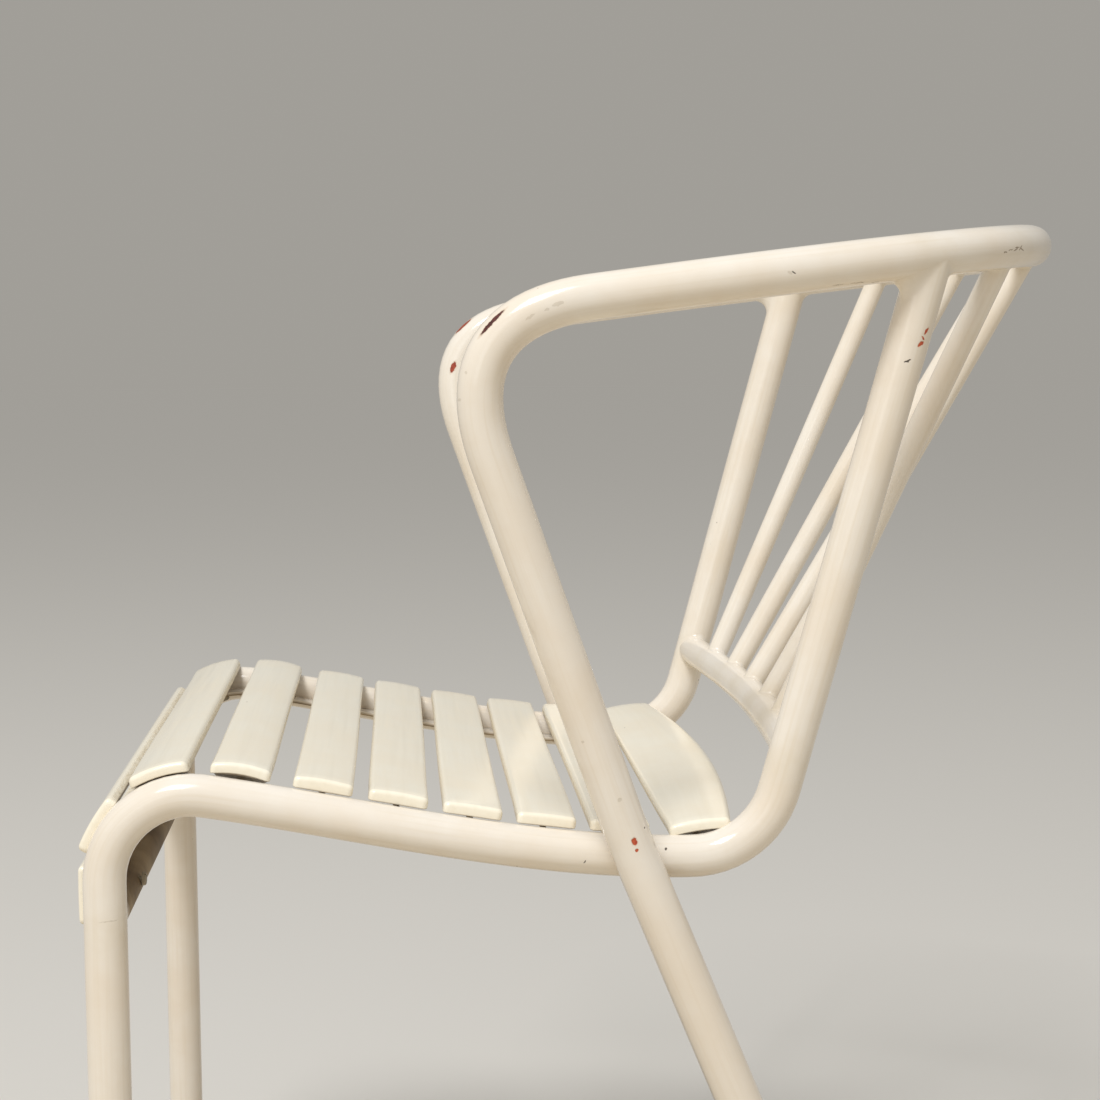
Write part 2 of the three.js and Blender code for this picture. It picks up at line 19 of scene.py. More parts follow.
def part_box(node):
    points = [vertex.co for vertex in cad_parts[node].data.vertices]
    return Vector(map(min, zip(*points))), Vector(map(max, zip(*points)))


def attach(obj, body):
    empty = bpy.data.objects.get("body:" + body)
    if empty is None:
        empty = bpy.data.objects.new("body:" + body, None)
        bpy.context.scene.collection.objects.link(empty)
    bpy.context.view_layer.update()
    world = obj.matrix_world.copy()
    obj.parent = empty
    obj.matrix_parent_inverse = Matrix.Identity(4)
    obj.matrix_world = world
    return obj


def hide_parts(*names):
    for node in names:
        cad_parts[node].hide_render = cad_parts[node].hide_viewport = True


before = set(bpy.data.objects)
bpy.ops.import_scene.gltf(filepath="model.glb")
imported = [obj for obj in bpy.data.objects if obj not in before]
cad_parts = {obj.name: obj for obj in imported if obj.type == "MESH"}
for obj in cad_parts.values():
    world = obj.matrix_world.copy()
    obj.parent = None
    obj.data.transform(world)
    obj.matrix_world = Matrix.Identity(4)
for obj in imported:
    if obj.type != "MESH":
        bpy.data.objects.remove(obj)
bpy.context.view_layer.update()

# %% [markdown]
# Sizes below are in millimetres, as on a workshop drawing, while Blender works in metres. The
# drawing counts Y from the middle of the seat rails, and the solid chair is centred on its box.
# The left front foot is on both, so it gives the distance between the two.

# %% Millimetres and the drawing's origin
FRONT_LEG_Y = -240


def mm(value):
    """Millimetres as metres."""
    return value / 1000


foot_low, foot_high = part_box("foot_cap_front_left")
DRAWING_SHIFT = (foot_low.y + foot_high.y) / 2 - mm(FRONT_LEG_Y)


def placed(points):
    """Points of the drawing, in millimetres, as places in the scene, in metres."""
    return np.asarray(points, float) / 1000 + np.array([0, DRAWING_SHIFT, 0])


# The sitter's left is towards +X.
HANDS = (("left", 1), ("right", -1))
print("drawing moved by", round(DRAWING_SHIFT * 1000, 2), "mm")

# %% [markdown]
# ## The camera
#
# The photograph was taken level with the arms, 1.35 m to the sitter's left, looking slightly down
# and a little towards the back of the chair. A long lens gives the same flat perspective.

# %% Camera
SENSOR = 36
FRAME_PIXELS = 1100
FOCAL_PIXELS = 2037.7
CAMERA_PLACE = (1348.6, -71.2, 689.7)
CAMERA_TURN = math.radians(4.281)
CAMERA_DROP = math.radians(5.565)
CAMERA_ROLL = math.radians(0.288)

ahead = Vector((
    -math.cos(CAMERA_DROP) * math.cos(CAMERA_TURN),
    math.cos(CAMERA_DROP) * math.sin(CAMERA_TURN),
    -math.sin(CAMERA_DROP),
))
level_right = ahead.cross(Vector((0, 0, 1))).normalized()
level_down = ahead.cross(level_right)
right = level_right * math.cos(CAMERA_ROLL) + level_down * math.sin(CAMERA_ROLL)
down = level_down * math.cos(CAMERA_ROLL) - level_right * math.sin(CAMERA_ROLL)

bpy.ops.object.camera_add()
camera = bpy.context.object
camera.name = "camera"
camera.matrix_world = (
    Matrix.Translation(Vector(placed(CAMERA_PLACE)))
    @ Matrix((right, -down, -ahead)).transposed().to_4x4()
)
camera.data.sensor_width = SENSOR
camera.data.lens = FOCAL_PIXELS / FRAME_PIXELS * SENSOR
camera.data.clip_start = 0.05
bpy.context.scene.camera = camera
print("lens", round(camera.data.lens, 2), "mm")

# %% [markdown]
# ## The lines that the tubes follow
#
# A bent tube is drawn as its middle line. Straight runs are joined by round bends, as a tube
# bender leaves them, and the dip of the seat is one smooth curve.

# %% Bends and smooth curves
def bend(before, corner, after, reach, count):
    """Points of a round bend in place of the corner between two straight runs."""
    before, corner, after = (np.asarray(p, float) for p in (before, corner, after))
    back = (before - corner) / np.linalg.norm(before - corner)
    onward = (after - corner) / np.linalg.norm(after - corner)
    half = math.acos(np.clip(back @ onward, -1, 1)) / 2
    radius = reach * math.tan(half)
    middle = (back + onward) / np.linalg.norm(back + onward)
    centre = corner + middle * radius / math.sin(half)
    first = corner + back * reach - centre
    last = corner + onward * reach - centre
    turn = math.pi - 2 * half
    w = np.linspace(0, 1, count + 1)[:, None]
    arc = first * np.sin((1 - w) * turn) + last * np.sin(w * turn)
    return centre + arc / math.sin(turn)


def smooth_curve(a, b, c, d, count):
    """Points of a curve from a to d that leaves towards b and arrives from c."""
    w = np.linspace(0, 1, count + 1)[:, None]
    a, b, c, d = (np.asarray(p, float) for p in (a, b, c, d))
    return a * (1 - w) ** 3 + 3 * b * w * (1 - w) ** 2 + 3 * c * w ** 2 * (1 - w) + d * w ** 3


def paces(points):
    """The distance from each point of a line to the next."""
    return np.linalg.norm(np.diff(points, axis=0), axis=1)


def walked_at(points):
    """How far along a line each of its points is."""
    return np.concatenate([[0], np.cumsum(paces(points))])


def spaced(points, step):
    """The same line with its points at an even spacing near step."""
    points = np.asarray(points, float)
    points = points[np.concatenate([[True], paces(points) > 1e-9])]
    walked = walked_at(points)
    count = max(int(round(walked[-1] / step)), 1)
    marks = np.linspace(0, walked[-1], count + 1)
    return np.stack([np.interp(marks, walked, points[:, k]) for k in range(3)], axis=1)


def mirrored(points):
    """The line on the other side of the chair."""
    return np.asarray(points, float) * np.array([-1, 1, 1])


# %% [markdown]
# Each side frame is one tube: it stands up from the front foot, turns over the knee, dips along
# the seat, and leans back as the post of the backrest.

# %% Side frame line
FRAME_HALF_SPACING = 198
KNEE_CORNER_HEIGHT = 449
KNEE_REACH = 58
RAIL_FRONT_SLOPE = 0.17
RAIL_FRONT_Y = -184
RAIL_LOW_Y = 97
RAIL_LOW_HEIGHT = 398
RAIL_DIP_HANDLE = 94
REAR_BEND_REACH = 40
POST_LEAN = 0.275
LEG_END_HEIGHT = 5.3
# How many short runs stand for each bend.
KNEE_RUNS = 30
DIP_RUNS = 60
REAR_BEND_RUNS = 24

ARM_HALF_SPAN = 240
ARM_FRONT_Y = -46.5
ARM_FRONT_HEIGHT = 707.8
BACK_REACH = 385.7
BACK_RISE = 47.3
HOOP_FULLNESS = 4
RISE_EARLY = 1.14
POST_TOP = 0.72


def hoop_point(share):
    """A point of the arm and back hoop, from the arm's front at 0 to the middle of the back at 1."""
    climb = RISE_EARLY * share + (1 - RISE_EARLY) * share * share
    x = ARM_HALF_SPAN * math.sqrt(max(1 - share ** HOOP_FULLNESS, 0))
    return np.array([x, ARM_FRONT_Y + BACK_REACH * share, ARM_FRONT_HEIGHT + BACK_RISE * climb])


def post_y(height):
    """Where the middle line of the back post is at a height."""
    return RAIL_LOW_Y + REAR_BEND_REACH + POST_LEAN * (height - RAIL_LOW_HEIGHT)


def side_frame_line():
    """The middle line of the left side frame, from the foot to the hoop."""
    x = FRAME_HALF_SPACING
    foot = [x, FRONT_LEG_Y, LEG_END_HEIGHT]
    rail_end = KNEE_CORNER_HEIGHT - RAIL_FRONT_SLOPE * (RAIL_FRONT_Y - FRONT_LEG_Y)
    corner = [x, FRONT_LEG_Y, KNEE_CORNER_HEIGHT]
    knee = bend(foot, corner, [x, RAIL_FRONT_Y, rail_end], KNEE_REACH, KNEE_RUNS)
    low = np.array([x, RAIL_LOW_Y, RAIL_LOW_HEIGHT])
    rail = smooth_curve(
        knee[-1],
        knee[-1] + np.array([0, RAIL_DIP_HANDLE, -RAIL_FRONT_SLOPE * RAIL_DIP_HANDLE]),
        low - np.array([0, RAIL_DIP_HANDLE, 0]),
        low,
        DIP_RUNS,
    )
    top_x, _, top_height = hoop_point(POST_TOP)
    top = [top_x, post_y(top_height), top_height]
    corner = [x, RAIL_LOW_Y + REAR_BEND_REACH, RAIL_LOW_HEIGHT]
    rear = bend(low, corner, top, REAR_BEND_REACH, REAR_BEND_RUNS)
    return np.vstack([[foot], knee, rail[1:], rear[1:], [top]])


frame_line = side_frame_line()
print("side frame tube", round(paces(frame_line).sum()), "mm long")

# %% [markdown]
# The arm and back tube starts at one rear foot, kinks outward just above the seat rail, bends over
# into the arm, sweeps round the back and comes down the other side.

# %% Arm and back line
ARM_RADIUS = 13
FRAME_RADIUS = 12.5
REAR_FOOT = (213.5, 227.5)
CROSSING = (223.8, 63.8, 398.5)
ELBOW_RISE = 17
ELBOW_REACH = 14
ARM_BEND_REACH = 82
ARM_BEND_HANDLE = 0.66
ELBOW_RUNS = 8
ARM_BEND_RUNS = 40
HOOP_POINTS = 500


def arm_half_line():
    """The middle line of the left half of the arm and back tube."""
    foot = np.array([*REAR_FOOT, 0])
    crossing = np.array(CROSSING)
    elbow_corner = foot + (crossing - foot) * (CROSSING[2] + ELBOW_RISE) / CROSSING[2]
    corner = hoop_point(0)
    elbow = bend(foot, elbow_corner, corner, ELBOW_REACH, ELBOW_RUNS)
    hoop = np.array([hoop_point(1 - (1 - w) ** 2) for w in np.linspace(0, 1, HOOP_POINTS)])
    k = int(np.argmax(walked_at(hoop) >= ARM_BEND_REACH))
    inward = (hoop[k - 1] - hoop[k]) / np.linalg.norm(hoop[k - 1] - hoop[k])
    upward = (corner - elbow_corner) / np.linalg.norm(corner - elbow_corner)
    start = corner - upward * ARM_BEND_REACH
    handle = ARM_BEND_REACH * ARM_BEND_HANDLE
    front = smooth_curve(
        start, start + upward * handle, hoop[k] + inward * handle, hoop[k], ARM_BEND_RUNS,
    )
    foot_cut = foot + (crossing - foot) * LEG_END_HEIGHT / CROSSING[2]
    return np.vstack([[foot_cut], elbow, front, hoop[k + 1:]])


arm_half = arm_half_line()
arm_line = np.vstack([arm_half, mirrored(arm_half)[::-1][1:]])
print("arm and back tube", round(paces(arm_line).sum()), "mm long")

# %% [markdown]
# The smaller tubes are simple: a rail bowed rearward between the posts, five straight spindles
# fanning out from it to the hoop, and a tube across the front legs that carries the lowest slat.

# %% Rails and spindles
BACK_RAIL_HEIGHT = 460
BACK_RAIL_BOW = 9
SPINDLE_TOPS = (156, 78, 0, -78, -156)
SPINDLE_FEET = (127, 63.5, 0, -63.5, -127)
FRONT_TUBE_HEIGHT = 368


def post_x(height):
    """How far from the chair's middle the post stands at a height."""
    top_x, _, top_height = hoop_point(POST_TOP)
    rise = (height - RAIL_LOW_HEIGHT) / (top_height - RAIL_LOW_HEIGHT)
    return FRAME_HALF_SPACING + (top_x - FRAME_HALF_SPACING) * rise


def back_rail_point(x):
    """The middle line of the lower back rail."""
    share = x / FRAME_HALF_SPACING
    y = post_y(BACK_RAIL_HEIGHT) + BACK_RAIL_BOW * (1 - share * share)
    return np.array([x, y, BACK_RAIL_HEIGHT])


def hoop_at(x):
    """The point of the hoop at a distance from the chair's middle."""
    share = (1 - (x / ARM_HALF_SPAN) ** 2) ** (1 / HOOP_FULLNESS)
    point = hoop_point(share)
    return np.array([x, point[1], point[2]])


rail_end_x = post_x(BACK_RAIL_HEIGHT)
back_rail_line = np.array([back_rail_point(x) for x in np.linspace(rail_end_x, -rail_end_x, 60)])
spindle_lines = [
    np.array([back_rail_point(foot), hoop_at(top)]) for foot, top in zip(SPINDLE_FEET, SPINDLE_TOPS)
]
front_tube_line = np.array([
    [sign * FRAME_HALF_SPACING, FRONT_LEG_Y, FRONT_TUBE_HEIGHT] for _, sign in HANDS
])
print(len(spindle_lines), "spindles between", BACK_RAIL_HEIGHT, "mm and the hoop")

# %% [markdown]
# ## Bending a tube
#
# A tube is bent the way a bender does it. A straight cylinder is cut into short rings, and a Curve
# modifier then bends it along its line. Before it is bent, each point notes where it is on the
# straight tube. Brush marks and grain read that note later, so they run along the tube with no
# seam, whatever way it turns.

# %% Straight and bent tubes
RING_STEP = 6
# A tube is first cut into so many long parts, and each of those into rings.
LONG_PARTS = 16
WELD_RINGS = 8
ROUTE_STEP = 3


def deselect():
    """Leaves nothing selected."""
    if bpy.context.mode != "OBJECT":
        bpy.ops.object.mode_set(mode="OBJECT")
    bpy.ops.object.select_all(action="DESELECT")


def block(name, length, width, height, place=(0, 0, 0)):
    """A box of a size in millimetres, with its middle at a place in metres."""
    deselect()
    bpy.ops.mesh.primitive_cube_add(size=1, location=place)
    piece = bpy.context.object
    piece.name = name
    piece.scale = (mm(length), mm(width), mm(height))
    bpy.ops.object.transform_apply(location=True, rotation=True, scale=True)
    return piece


def copy_of(piece, name):
    """A copy of a piece, with a mesh of its own."""
    twin = bpy.data.objects.new(name, piece.data.copy())
    bpy.context.scene.collection.objects.link(twin)
    return twin


def smooth(piece, angle):
    """Shades a piece smooth, but for edges that are sharper than an angle in degrees."""
    deselect()
    piece.select_set(True)
    bpy.context.view_layer.objects.active = piece
    bpy.ops.object.shade_smooth_by_angle(angle=math.radians(angle))


def face_outward():
    """Turns all faces of the active piece outward."""
    bpy.ops.object.mode_set(mode="EDIT")
    bpy.ops.mesh.select_all(action="SELECT")
    bpy.ops.mesh.normals_make_consistent(inside=False)
    bpy.ops.object.mode_set(mode="OBJECT")


def points_of(piece):
    """The vertex places of a piece as an array."""
    flat = np.empty(len(piece.data.vertices) * 3)
    piece.data.vertices.foreach_get("co", flat)
    return flat.reshape(-1, 3)


def move_points(piece, places):
    """Puts the vertices of a piece at new places."""
    piece.data.vertices.foreach_set("co", np.asarray(places, float).ravel())
    piece.data.update()


def note(piece, name, values):
    """Writes one vector or number on each vertex, for the materials to read."""
    kind = "FLOAT" if np.ndim(values) == 1 else "FLOAT_VECTOR"
    layer = piece.data.attributes.get(name) or piece.data.attributes.new(name, kind, "POINT")
    field = "value" if kind == "FLOAT" else "vector"
    layer.data.foreach_set(field, np.asarray(values, float).ravel())


def select_edges(piece, wanted):
    """In edit mode, selects the edges for which wanted(a, b) is true, a and b being their ends."""
    bpy.ops.mesh.select_mode(type="EDGE")
    bpy.ops.mesh.select_all(action="DESELECT")
    bpy.ops.object.mode_set(mode="OBJECT")
    spots = points_of(piece)
    ends = np.empty(len(piece.data.edges) * 2, int)
    piece.data.edges.foreach_get("vertices", ends)
    ends = ends.reshape(-1, 2)
    chosen = wanted(spots[ends[:, 0]], spots[ends[:, 1]])
    piece.data.edges.foreach_set("select", chosen)
    bpy.ops.object.mode_set(mode="EDIT")
    return int(chosen.sum())


def along(axis):
    """Says whether an edge runs along an axis."""
    def test(a, b):
        run = np.abs(b - a)
        return run[:, axis] > run.sum(axis=1) * 0.999
    return test


def straight_tube(name, radius, length, sides, start_free, end_free):
    """A closed cylinder along X in even rings, but for the rings kept at each end for the welds."""
    deselect()
    bpy.ops.mesh.primitive_cylinder_add(
        vertices=sides, radius=radius, depth=length, end_fill_type="NGON",
        location=(length / 2, 0, 0), rotation=(0, math.pi / 2, 0),
    )
    tube = bpy.context.object
    tube.name = name
    bpy.ops.object.transform_apply(location=True, rotation=True, scale=True)
    rings = int(math.ceil(length / mm(RING_STEP) / LONG_PARTS)) * LONG_PARTS
    bpy.ops.object.mode_set(mode="EDIT")
    select_edges(tube, along(0))
    bpy.ops.mesh.subdivide(number_cuts=LONG_PARTS - 1)
    select_edges(tube, along(0))
    bpy.ops.mesh.subdivide(number_cuts=rings // LONG_PARTS - 1)
    bpy.ops.object.mode_set(mode="OBJECT")
    spots = points_of(tube)
    ring = np.rint(spots[:, 0] / length * rings).astype(int)
    first, last = (WELD_RINGS if start_free else 0), rings - (WELD_RINGS if end_free else 0)
    even = start_free + (ring - first) / (last - first) * (length - start_free - end_free)
    before = start_free * ring / max(first, 1)
    after = length - end_free * (rings - ring) / max(rings - last, 1)
    spots[:, 0] = np.where(ring < first, before, np.where(ring > last, after, even))
    move_points(tube, spots)
    column = np.rint(np.arctan2(spots[:, 2], spots[:, 1]) / (2 * math.pi) * sides * 2).astype(int)
    return tube, ring, rings, column


def follow(tube, line):
    """Bends a straight tube along a line with a Curve modifier."""
    route = bpy.data.curves.new("tube_route", "CURVE")
    route.dimensions = "3D"
    route.twist_mode = "MINIMUM"
    spline = route.splines.new("POLY")
    stops = spaced(line, mm(ROUTE_STEP))
    spline.points.add(len(stops) - 1)
    spline.points.foreach_set("co", np.column_stack([stops, np.ones(len(stops))]).ravel())
    guide = bpy.data.objects.new("tube_route", route)
    bpy.context.scene.collection.objects.link(guide)
    bending = tube.modifiers.new("bending", "CURVE")
    bending.object = guide
    bending.deform_axis = "POS_X"
    bpy.context.view_layer.objects.active = tube
    bpy.ops.object.modifier_apply(modifier="bending")
    bpy.data.objects.remove(guide)


# %% [markdown]
# ## Welds under paint
#
# Where one tube ends on another, the maker ran a bead of weld round the joint and the paint filled
# the corner, so no crease shows. A ball rolled round such a joint touches both tubes. The last
# rings of the branch tube are spread along the ball's path, from one tube to the other.

# %% Weld shapes
WELD_SEARCH = 90
WELD_SEARCH_STEP = 0.5
NEAR_THE_JOINT = 140
HALVINGS = 12


def nearest_on(line, spots):
    """For each spot, the closest place on a line of straight runs."""
    a, b = line[:-1], line[1:]
    run = b - a
    share = np.einsum("pk,sk->ps", spots, run) - np.einsum("sk,sk->s", a, run)[None, :]
    share = np.clip(share / np.einsum("sk,sk->s", run, run)[None, :], 0, 1)
    places = a[None] + share[..., None] * run[None]
    gap = np.linalg.norm(places - spots[:, None], axis=2)
    best = gap.argmin(axis=1)
    rows = np.arange(len(spots))
    return places[rows, best], gap[rows, best]


def weld_rows(end, heading, outward, radius, other_line, other_radius, bead):
    """Rows of places that lead from a branch tube on to the tube it ends on.

    outward holds one direction for each side of the branch, square to its heading, and bead is
    the size of the weld there. Row 0 is on the branch and the last row is on the other tube.
    """
    near = other_line[np.linalg.norm(other_line - end, axis=1) < mm(NEAR_THE_JOINT)]
    back = np.arange(mm(WELD_SEARCH), 0, -mm(WELD_SEARCH_STEP))
    side = end + outward * (radius + bead)[:, None]
    spots = side[:, None, :] - heading[None, None, :] * back[None, :, None]
    _, gap = nearest_on(near, spots.reshape(-1, 3))
    inside = gap.reshape(len(side), -1) < (other_radius + bead)[:, None]
    first = np.where(inside.any(axis=1), inside.argmax(axis=1), len(back) - 1)
    far, close = back[np.maximum(first - 1, 0)], back[first]
    for _ in range(HALVINGS):
        half = (far + close) / 2
        _, gap = nearest_on(near, side - heading * half[:, None])
        outside = gap > other_radius + bead
        far, close = np.where(outside, half, far), np.where(outside, close, half)
    ball = side - heading * far[:, None]
    floor, gap = nearest_on(near, ball)
    up = (ball - floor) / gap[:, None]
    turn = np.arccos(np.clip(np.einsum("ij,ij->i", outward, up), -1, 1))[:, None]
    rows = []
    for w in np.linspace(0, 1, WELD_RINGS + 1):
        mix = outward * np.sin((1 - w) * turn) + up * np.sin(w * turn)
        rows.append(ball - mix / np.sin(turn) * bead[:, None])
    return np.array(rows), far


def uneven(sides, size, seed):
    """A bead size that swells and shrinks a little round the joint, as a hand-run weld does."""
    angle = np.arange(sides) * 2 * math.pi / sides
    wave = np.sin(2 * angle + seed) + 0.6 * np.sin(3 * angle + 2.3 * seed)
    return size * (1 + 0.09 * wave)


# %% [markdown]
# One function now makes any tube of the chair. It finds how much room the welds need, makes the
# straight tube, bends it, and spreads its end rings.

# %% A whole tube
ENAMEL_PIECES = []
JOINTS = []
# The solid tubes have flat sides. A round tube of this share of their radius fits inside them.
ROUND_SHARE = 0.981
LINE_STEP = 2
HEADING_STEPS = 4
WELD_SPARE = 1.5
# Each tube takes its brush marks from another place in the pattern, this far on, in metres.
TUBE_GRAIN_SHIFT = 0.37


def cross_directions(heading, sides):
    """Directions round a heading, square to it."""
    # The first of them may point any way, so a direction that no tube ends in gives it.
    side = np.cross(heading, [0.3, 0.2, 0.9])
    side /= np.linalg.norm(side)
    third = np.cross(heading, side)
    angle = np.arange(sides) * 2 * math.pi / sides
    return np.outer(np.cos(angle), side) + np.outer(np.sin(angle), third)


def heading_out(line):
    """The direction in which a line runs out at its first point."""
    run = line[0] - line[HEADING_STEPS]
    return run / np.linalg.norm(run)


def make_tube(name, node, line, radius, sides, start_weld=None, end_weld=None):
    """A bent tube in place of a solid one. A weld is (the other tube's line, its radius, bead)."""
    number = len(ENAMEL_PIECES) + 1
    line = spaced(placed(line), mm(LINE_STEP))
    radius = mm(radius) * ROUND_SHARE
    ends = {
        "start": (start_weld, line[0], heading_out(line)),
        "end": (end_weld, line[-1], heading_out(line[::-1])),
    }
    welded = [key for key, (weld, _, _) in ends.items() if weld]

    def rows_at(key, outward):
        """The rows of an end's weld, and how far back from the tip it starts on each side."""
        (other, other_radius, bead), tip, heading = ends[key]
        return weld_rows(tip, heading, outward, radius, placed(other),
                         mm(other_radius) * ROUND_SHARE, uneven(sides, mm(bead), number))

    room = {"start": 0, "end": 0}
    for key in welded:
        _, back = rows_at(key, cross_directions(ends[key][2], sides))
        room[key] = back.max() + mm(WELD_SPARE)
    length = paces(line).sum()
    tube, ring, rings, column = straight_tube(name, radius, length, sides, room["start"], room["end"])
    note(tube, "unbent", points_of(tube) + np.array([number * TUBE_GRAIN_SHIFT, 0, 0]))
    follow(tube, line)
    spots = points_of(tube)
    for key in welded:
        (_, other_radius, _), tip, heading = ends[key]
        last, onward = (WELD_RINGS, -1) if key == "start" else (rings - WELD_RINGS, 1)
        members = [np.flatnonzero(ring == last + onward * k) for k in range(WELD_RINGS + 1)]
        members = [here[np.argsort(column[here])] for here in members]
        outward = spots[members[0]] - nearest_on(line, spots[members[0]])[0]
        outward -= np.outer(outward @ heading, heading)
        outward /= np.linalg.norm(outward, axis=1)[:, None]
        rows, _ = rows_at(key, outward)
        for here, row in zip(members, rows):
            spots[here] = row
        JOINTS.append((tip, mm(other_radius)))
    move_points(tube, spots)
    smooth(tube, 40)
    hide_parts(node)
    ENAMEL_PIECES.append(tube)
    print(name, len(tube.data.polygons), "faces,", round(length * 1000), "mm")
    return tube


# %% [markdown]
# ## The steel frame
#
# The long tube comes first, then the two side frames whose posts are welded under the hoop.

# %% Arm and back tube, side frames
FRAME_TUBE_FACES = 44
POST_WELD = 10
WELD_LINE_STEP = 4

arm_tube = make_tube("arm_and_back_hoop", "arm_back_tube", arm_line, ARM_RADIUS, FRAME_TUBE_FACES)
frame_lines = {"left": frame_line, "right": mirrored(frame_line)}
arm_fine_line = spaced(arm_line, WELD_LINE_STEP)
for side, line in frame_lines.items():
    make_tube(f"leg_rail_and_post_{side}", f"side_frame_{side}", line, FRAME_RADIUS,
              FRAME_TUBE_FACES, end_weld=(arm_fine_line, ARM_RADIUS, POST_WELD))

# %% [markdown]
# The cross tubes are welded between the side frames, and the spindles stand on the lower one.

# %% Cross tubes and spindles
CROSS_RADIUS = 11
CROSS_TUBE_FACES = 40
SPINDLE_RADIUS = 7.5
SPINDLE_FACES = 28
BACK_RAIL_WELD = 3.5
FRONT_TUBE_WELD = 4
SPINDLE_FOOT_WELD = 2.2
SPINDLE_TOP_WELD = 2.4
DIRT_AND_SHADE_FADE = 8


def welded_across(name, node, line, bead):
    """A tube from the left side frame to the right one, welded to both."""
    left, right = ((spaced(frame_lines[side], WELD_LINE_STEP), FRAME_RADIUS, bead) for side, _ in HANDS)
    return make_tube(name, node, line, CROSS_RADIUS, CROSS_TUBE_FACES, start_weld=left, end_weld=right)


welded_across("bowed_back_rail", "lower_back_rail", back_rail_line, BACK_RAIL_WELD)
front_tube = welded_across(
    "tube_behind_lowest_slat", "front_cross_tube", front_tube_line, FRONT_TUBE_WELD,
)
# No brush reached behind the lowest slat, so all but the ends of this tube is painted brown, for
# dirt and for the shade under the seat.
from_leg = FRAME_HALF_SPACING - FRAME_RADIUS - np.abs(points_of(front_tube)[:, 0]) * 1000
note(front_tube, "underside", np.clip(from_leg / DIRT_AND_SHADE_FADE, 0, 1))
for number, line in enumerate(spindle_lines, 1):
    make_tube(f"back_spindle_{number}", f"spindle_{number}", line, SPINDLE_RADIUS, SPINDLE_FACES,
              start_weld=(spaced(back_rail_line, WELD_LINE_STEP), CROSS_RADIUS, SPINDLE_FOOT_WELD),
              end_weld=(arm_fine_line, ARM_RADIUS, SPINDLE_TOP_WELD))

# %% [markdown]
# ## The slats
#
# The slats lie across the side frames, so each one needs a place and a tilt. Both come from the
# middle line of the side frame, at a distance from the floor measured along the tube.

# %% Places along the side frame
TILT_REACH = 5
along_frame = spaced(frame_line, 1)
frame_walked = walked_at(along_frame)


def frame_at(distance):
    """Middle line, running direction and upward direction at a distance from the floor."""
    want = distance - LEG_END_HEIGHT
    look = [np.array([np.interp(want + s, frame_walked, along_frame[:, k]) for k in range(3)])
            for s in (-TILT_REACH, 0, TILT_REACH)]
    run = (look[2] - look[0]) * np.array([0, 1, 1])
    run /= np.linalg.norm(run)
    return look[1], run, np.array([0, -run[2], run[1]])


def laid_on_frame(distance, across, lift, x):
    """Scene places for points given across the slat, upward from the frame's line, and along X."""
    point, run, up = frame_at(distance)
    spots = np.outer(across, run) + np.outer(lift, up) + point * np.array([0, 1, 1])
    spots[:, 0] = x
    return placed(spots)


# %% [markdown]
# A slat is a thin wooden board. Its upper edges were rounded with a plane or a router before it was
# painted, and the lower ones only lost their sharpness. One board is cut and rounded in edit mode,
# and the ten slats are copies of it.

# %% One rounded board
SLAT_LENGTH = 394
LOWEST_SLAT_LENGTH = 364
SLAT_WIDTH = 34.5
REAR_SLAT_WIDTH = 35.5
REAR_SLAT_BULGE = 15
SLAT_THICKNESS = 6.2
SLAT_CORNER = 3
SLAT_TOP_ROUND = 2.6
SLAT_LOW_ROUND = 0.8
CUTS_ALONG_SLAT = 31
CUTS_ACROSS_SLAT = 8


def rim(height):
    """Says whether an edge is part of the board's outline at a height."""
    def on_rim(p):
        beside = np.maximum(np.abs(p[:, 0]) - mm(SLAT_LENGTH / 2 - SLAT_CORNER), 0)
        beyond = np.maximum(np.abs(p[:, 1]) - mm(SLAT_WIDTH / 2 - SLAT_CORNER), 0)
        level = np.abs(p[:, 2] - height) < mm(0.01)
        return level & (np.hypot(beside, beyond) > mm(SLAT_CORNER * 0.98))
    return lambda a, b: on_rim(a) & on_rim(b)


def upright_corner(a, b):
    """Says whether an edge is one of the board's four upright corners."""
    at_end = np.abs(a[:, 0]) > mm(SLAT_LENGTH / 2 - 0.1)
    at_side = np.abs(a[:, 1]) > mm(SLAT_WIDTH / 2 - 0.1)
    return along(2)(a, b) & at_end & at_side


board = block("board", SLAT_LENGTH, SLAT_WIDTH, SLAT_THICKNESS, (0, 0, mm(SLAT_THICKNESS) / 2))
bpy.ops.object.mode_set(mode="EDIT")
select_edges(board, along(0))
bpy.ops.mesh.subdivide(number_cuts=CUTS_ALONG_SLAT)
select_edges(board, along(1))
bpy.ops.mesh.subdivide(number_cuts=CUTS_ACROSS_SLAT)
print("upright corners", select_edges(board, upright_corner))
bpy.ops.mesh.bevel(offset=mm(SLAT_CORNER), segments=4, affect="EDGES")
print("top outline", select_edges(board, rim(mm(SLAT_THICKNESS))), "edges")
bpy.ops.mesh.bevel(offset=mm(SLAT_TOP_ROUND), segments=6, affect="EDGES")
print("lower outline", select_edges(board, rim(0)), "edges")
bpy.ops.mesh.bevel(offset=mm(SLAT_LOW_ROUND), segments=2, affect="EDGES")
bpy.ops.object.mode_set(mode="OBJECT")
print("one board", len(board.data.polygons), "faces")
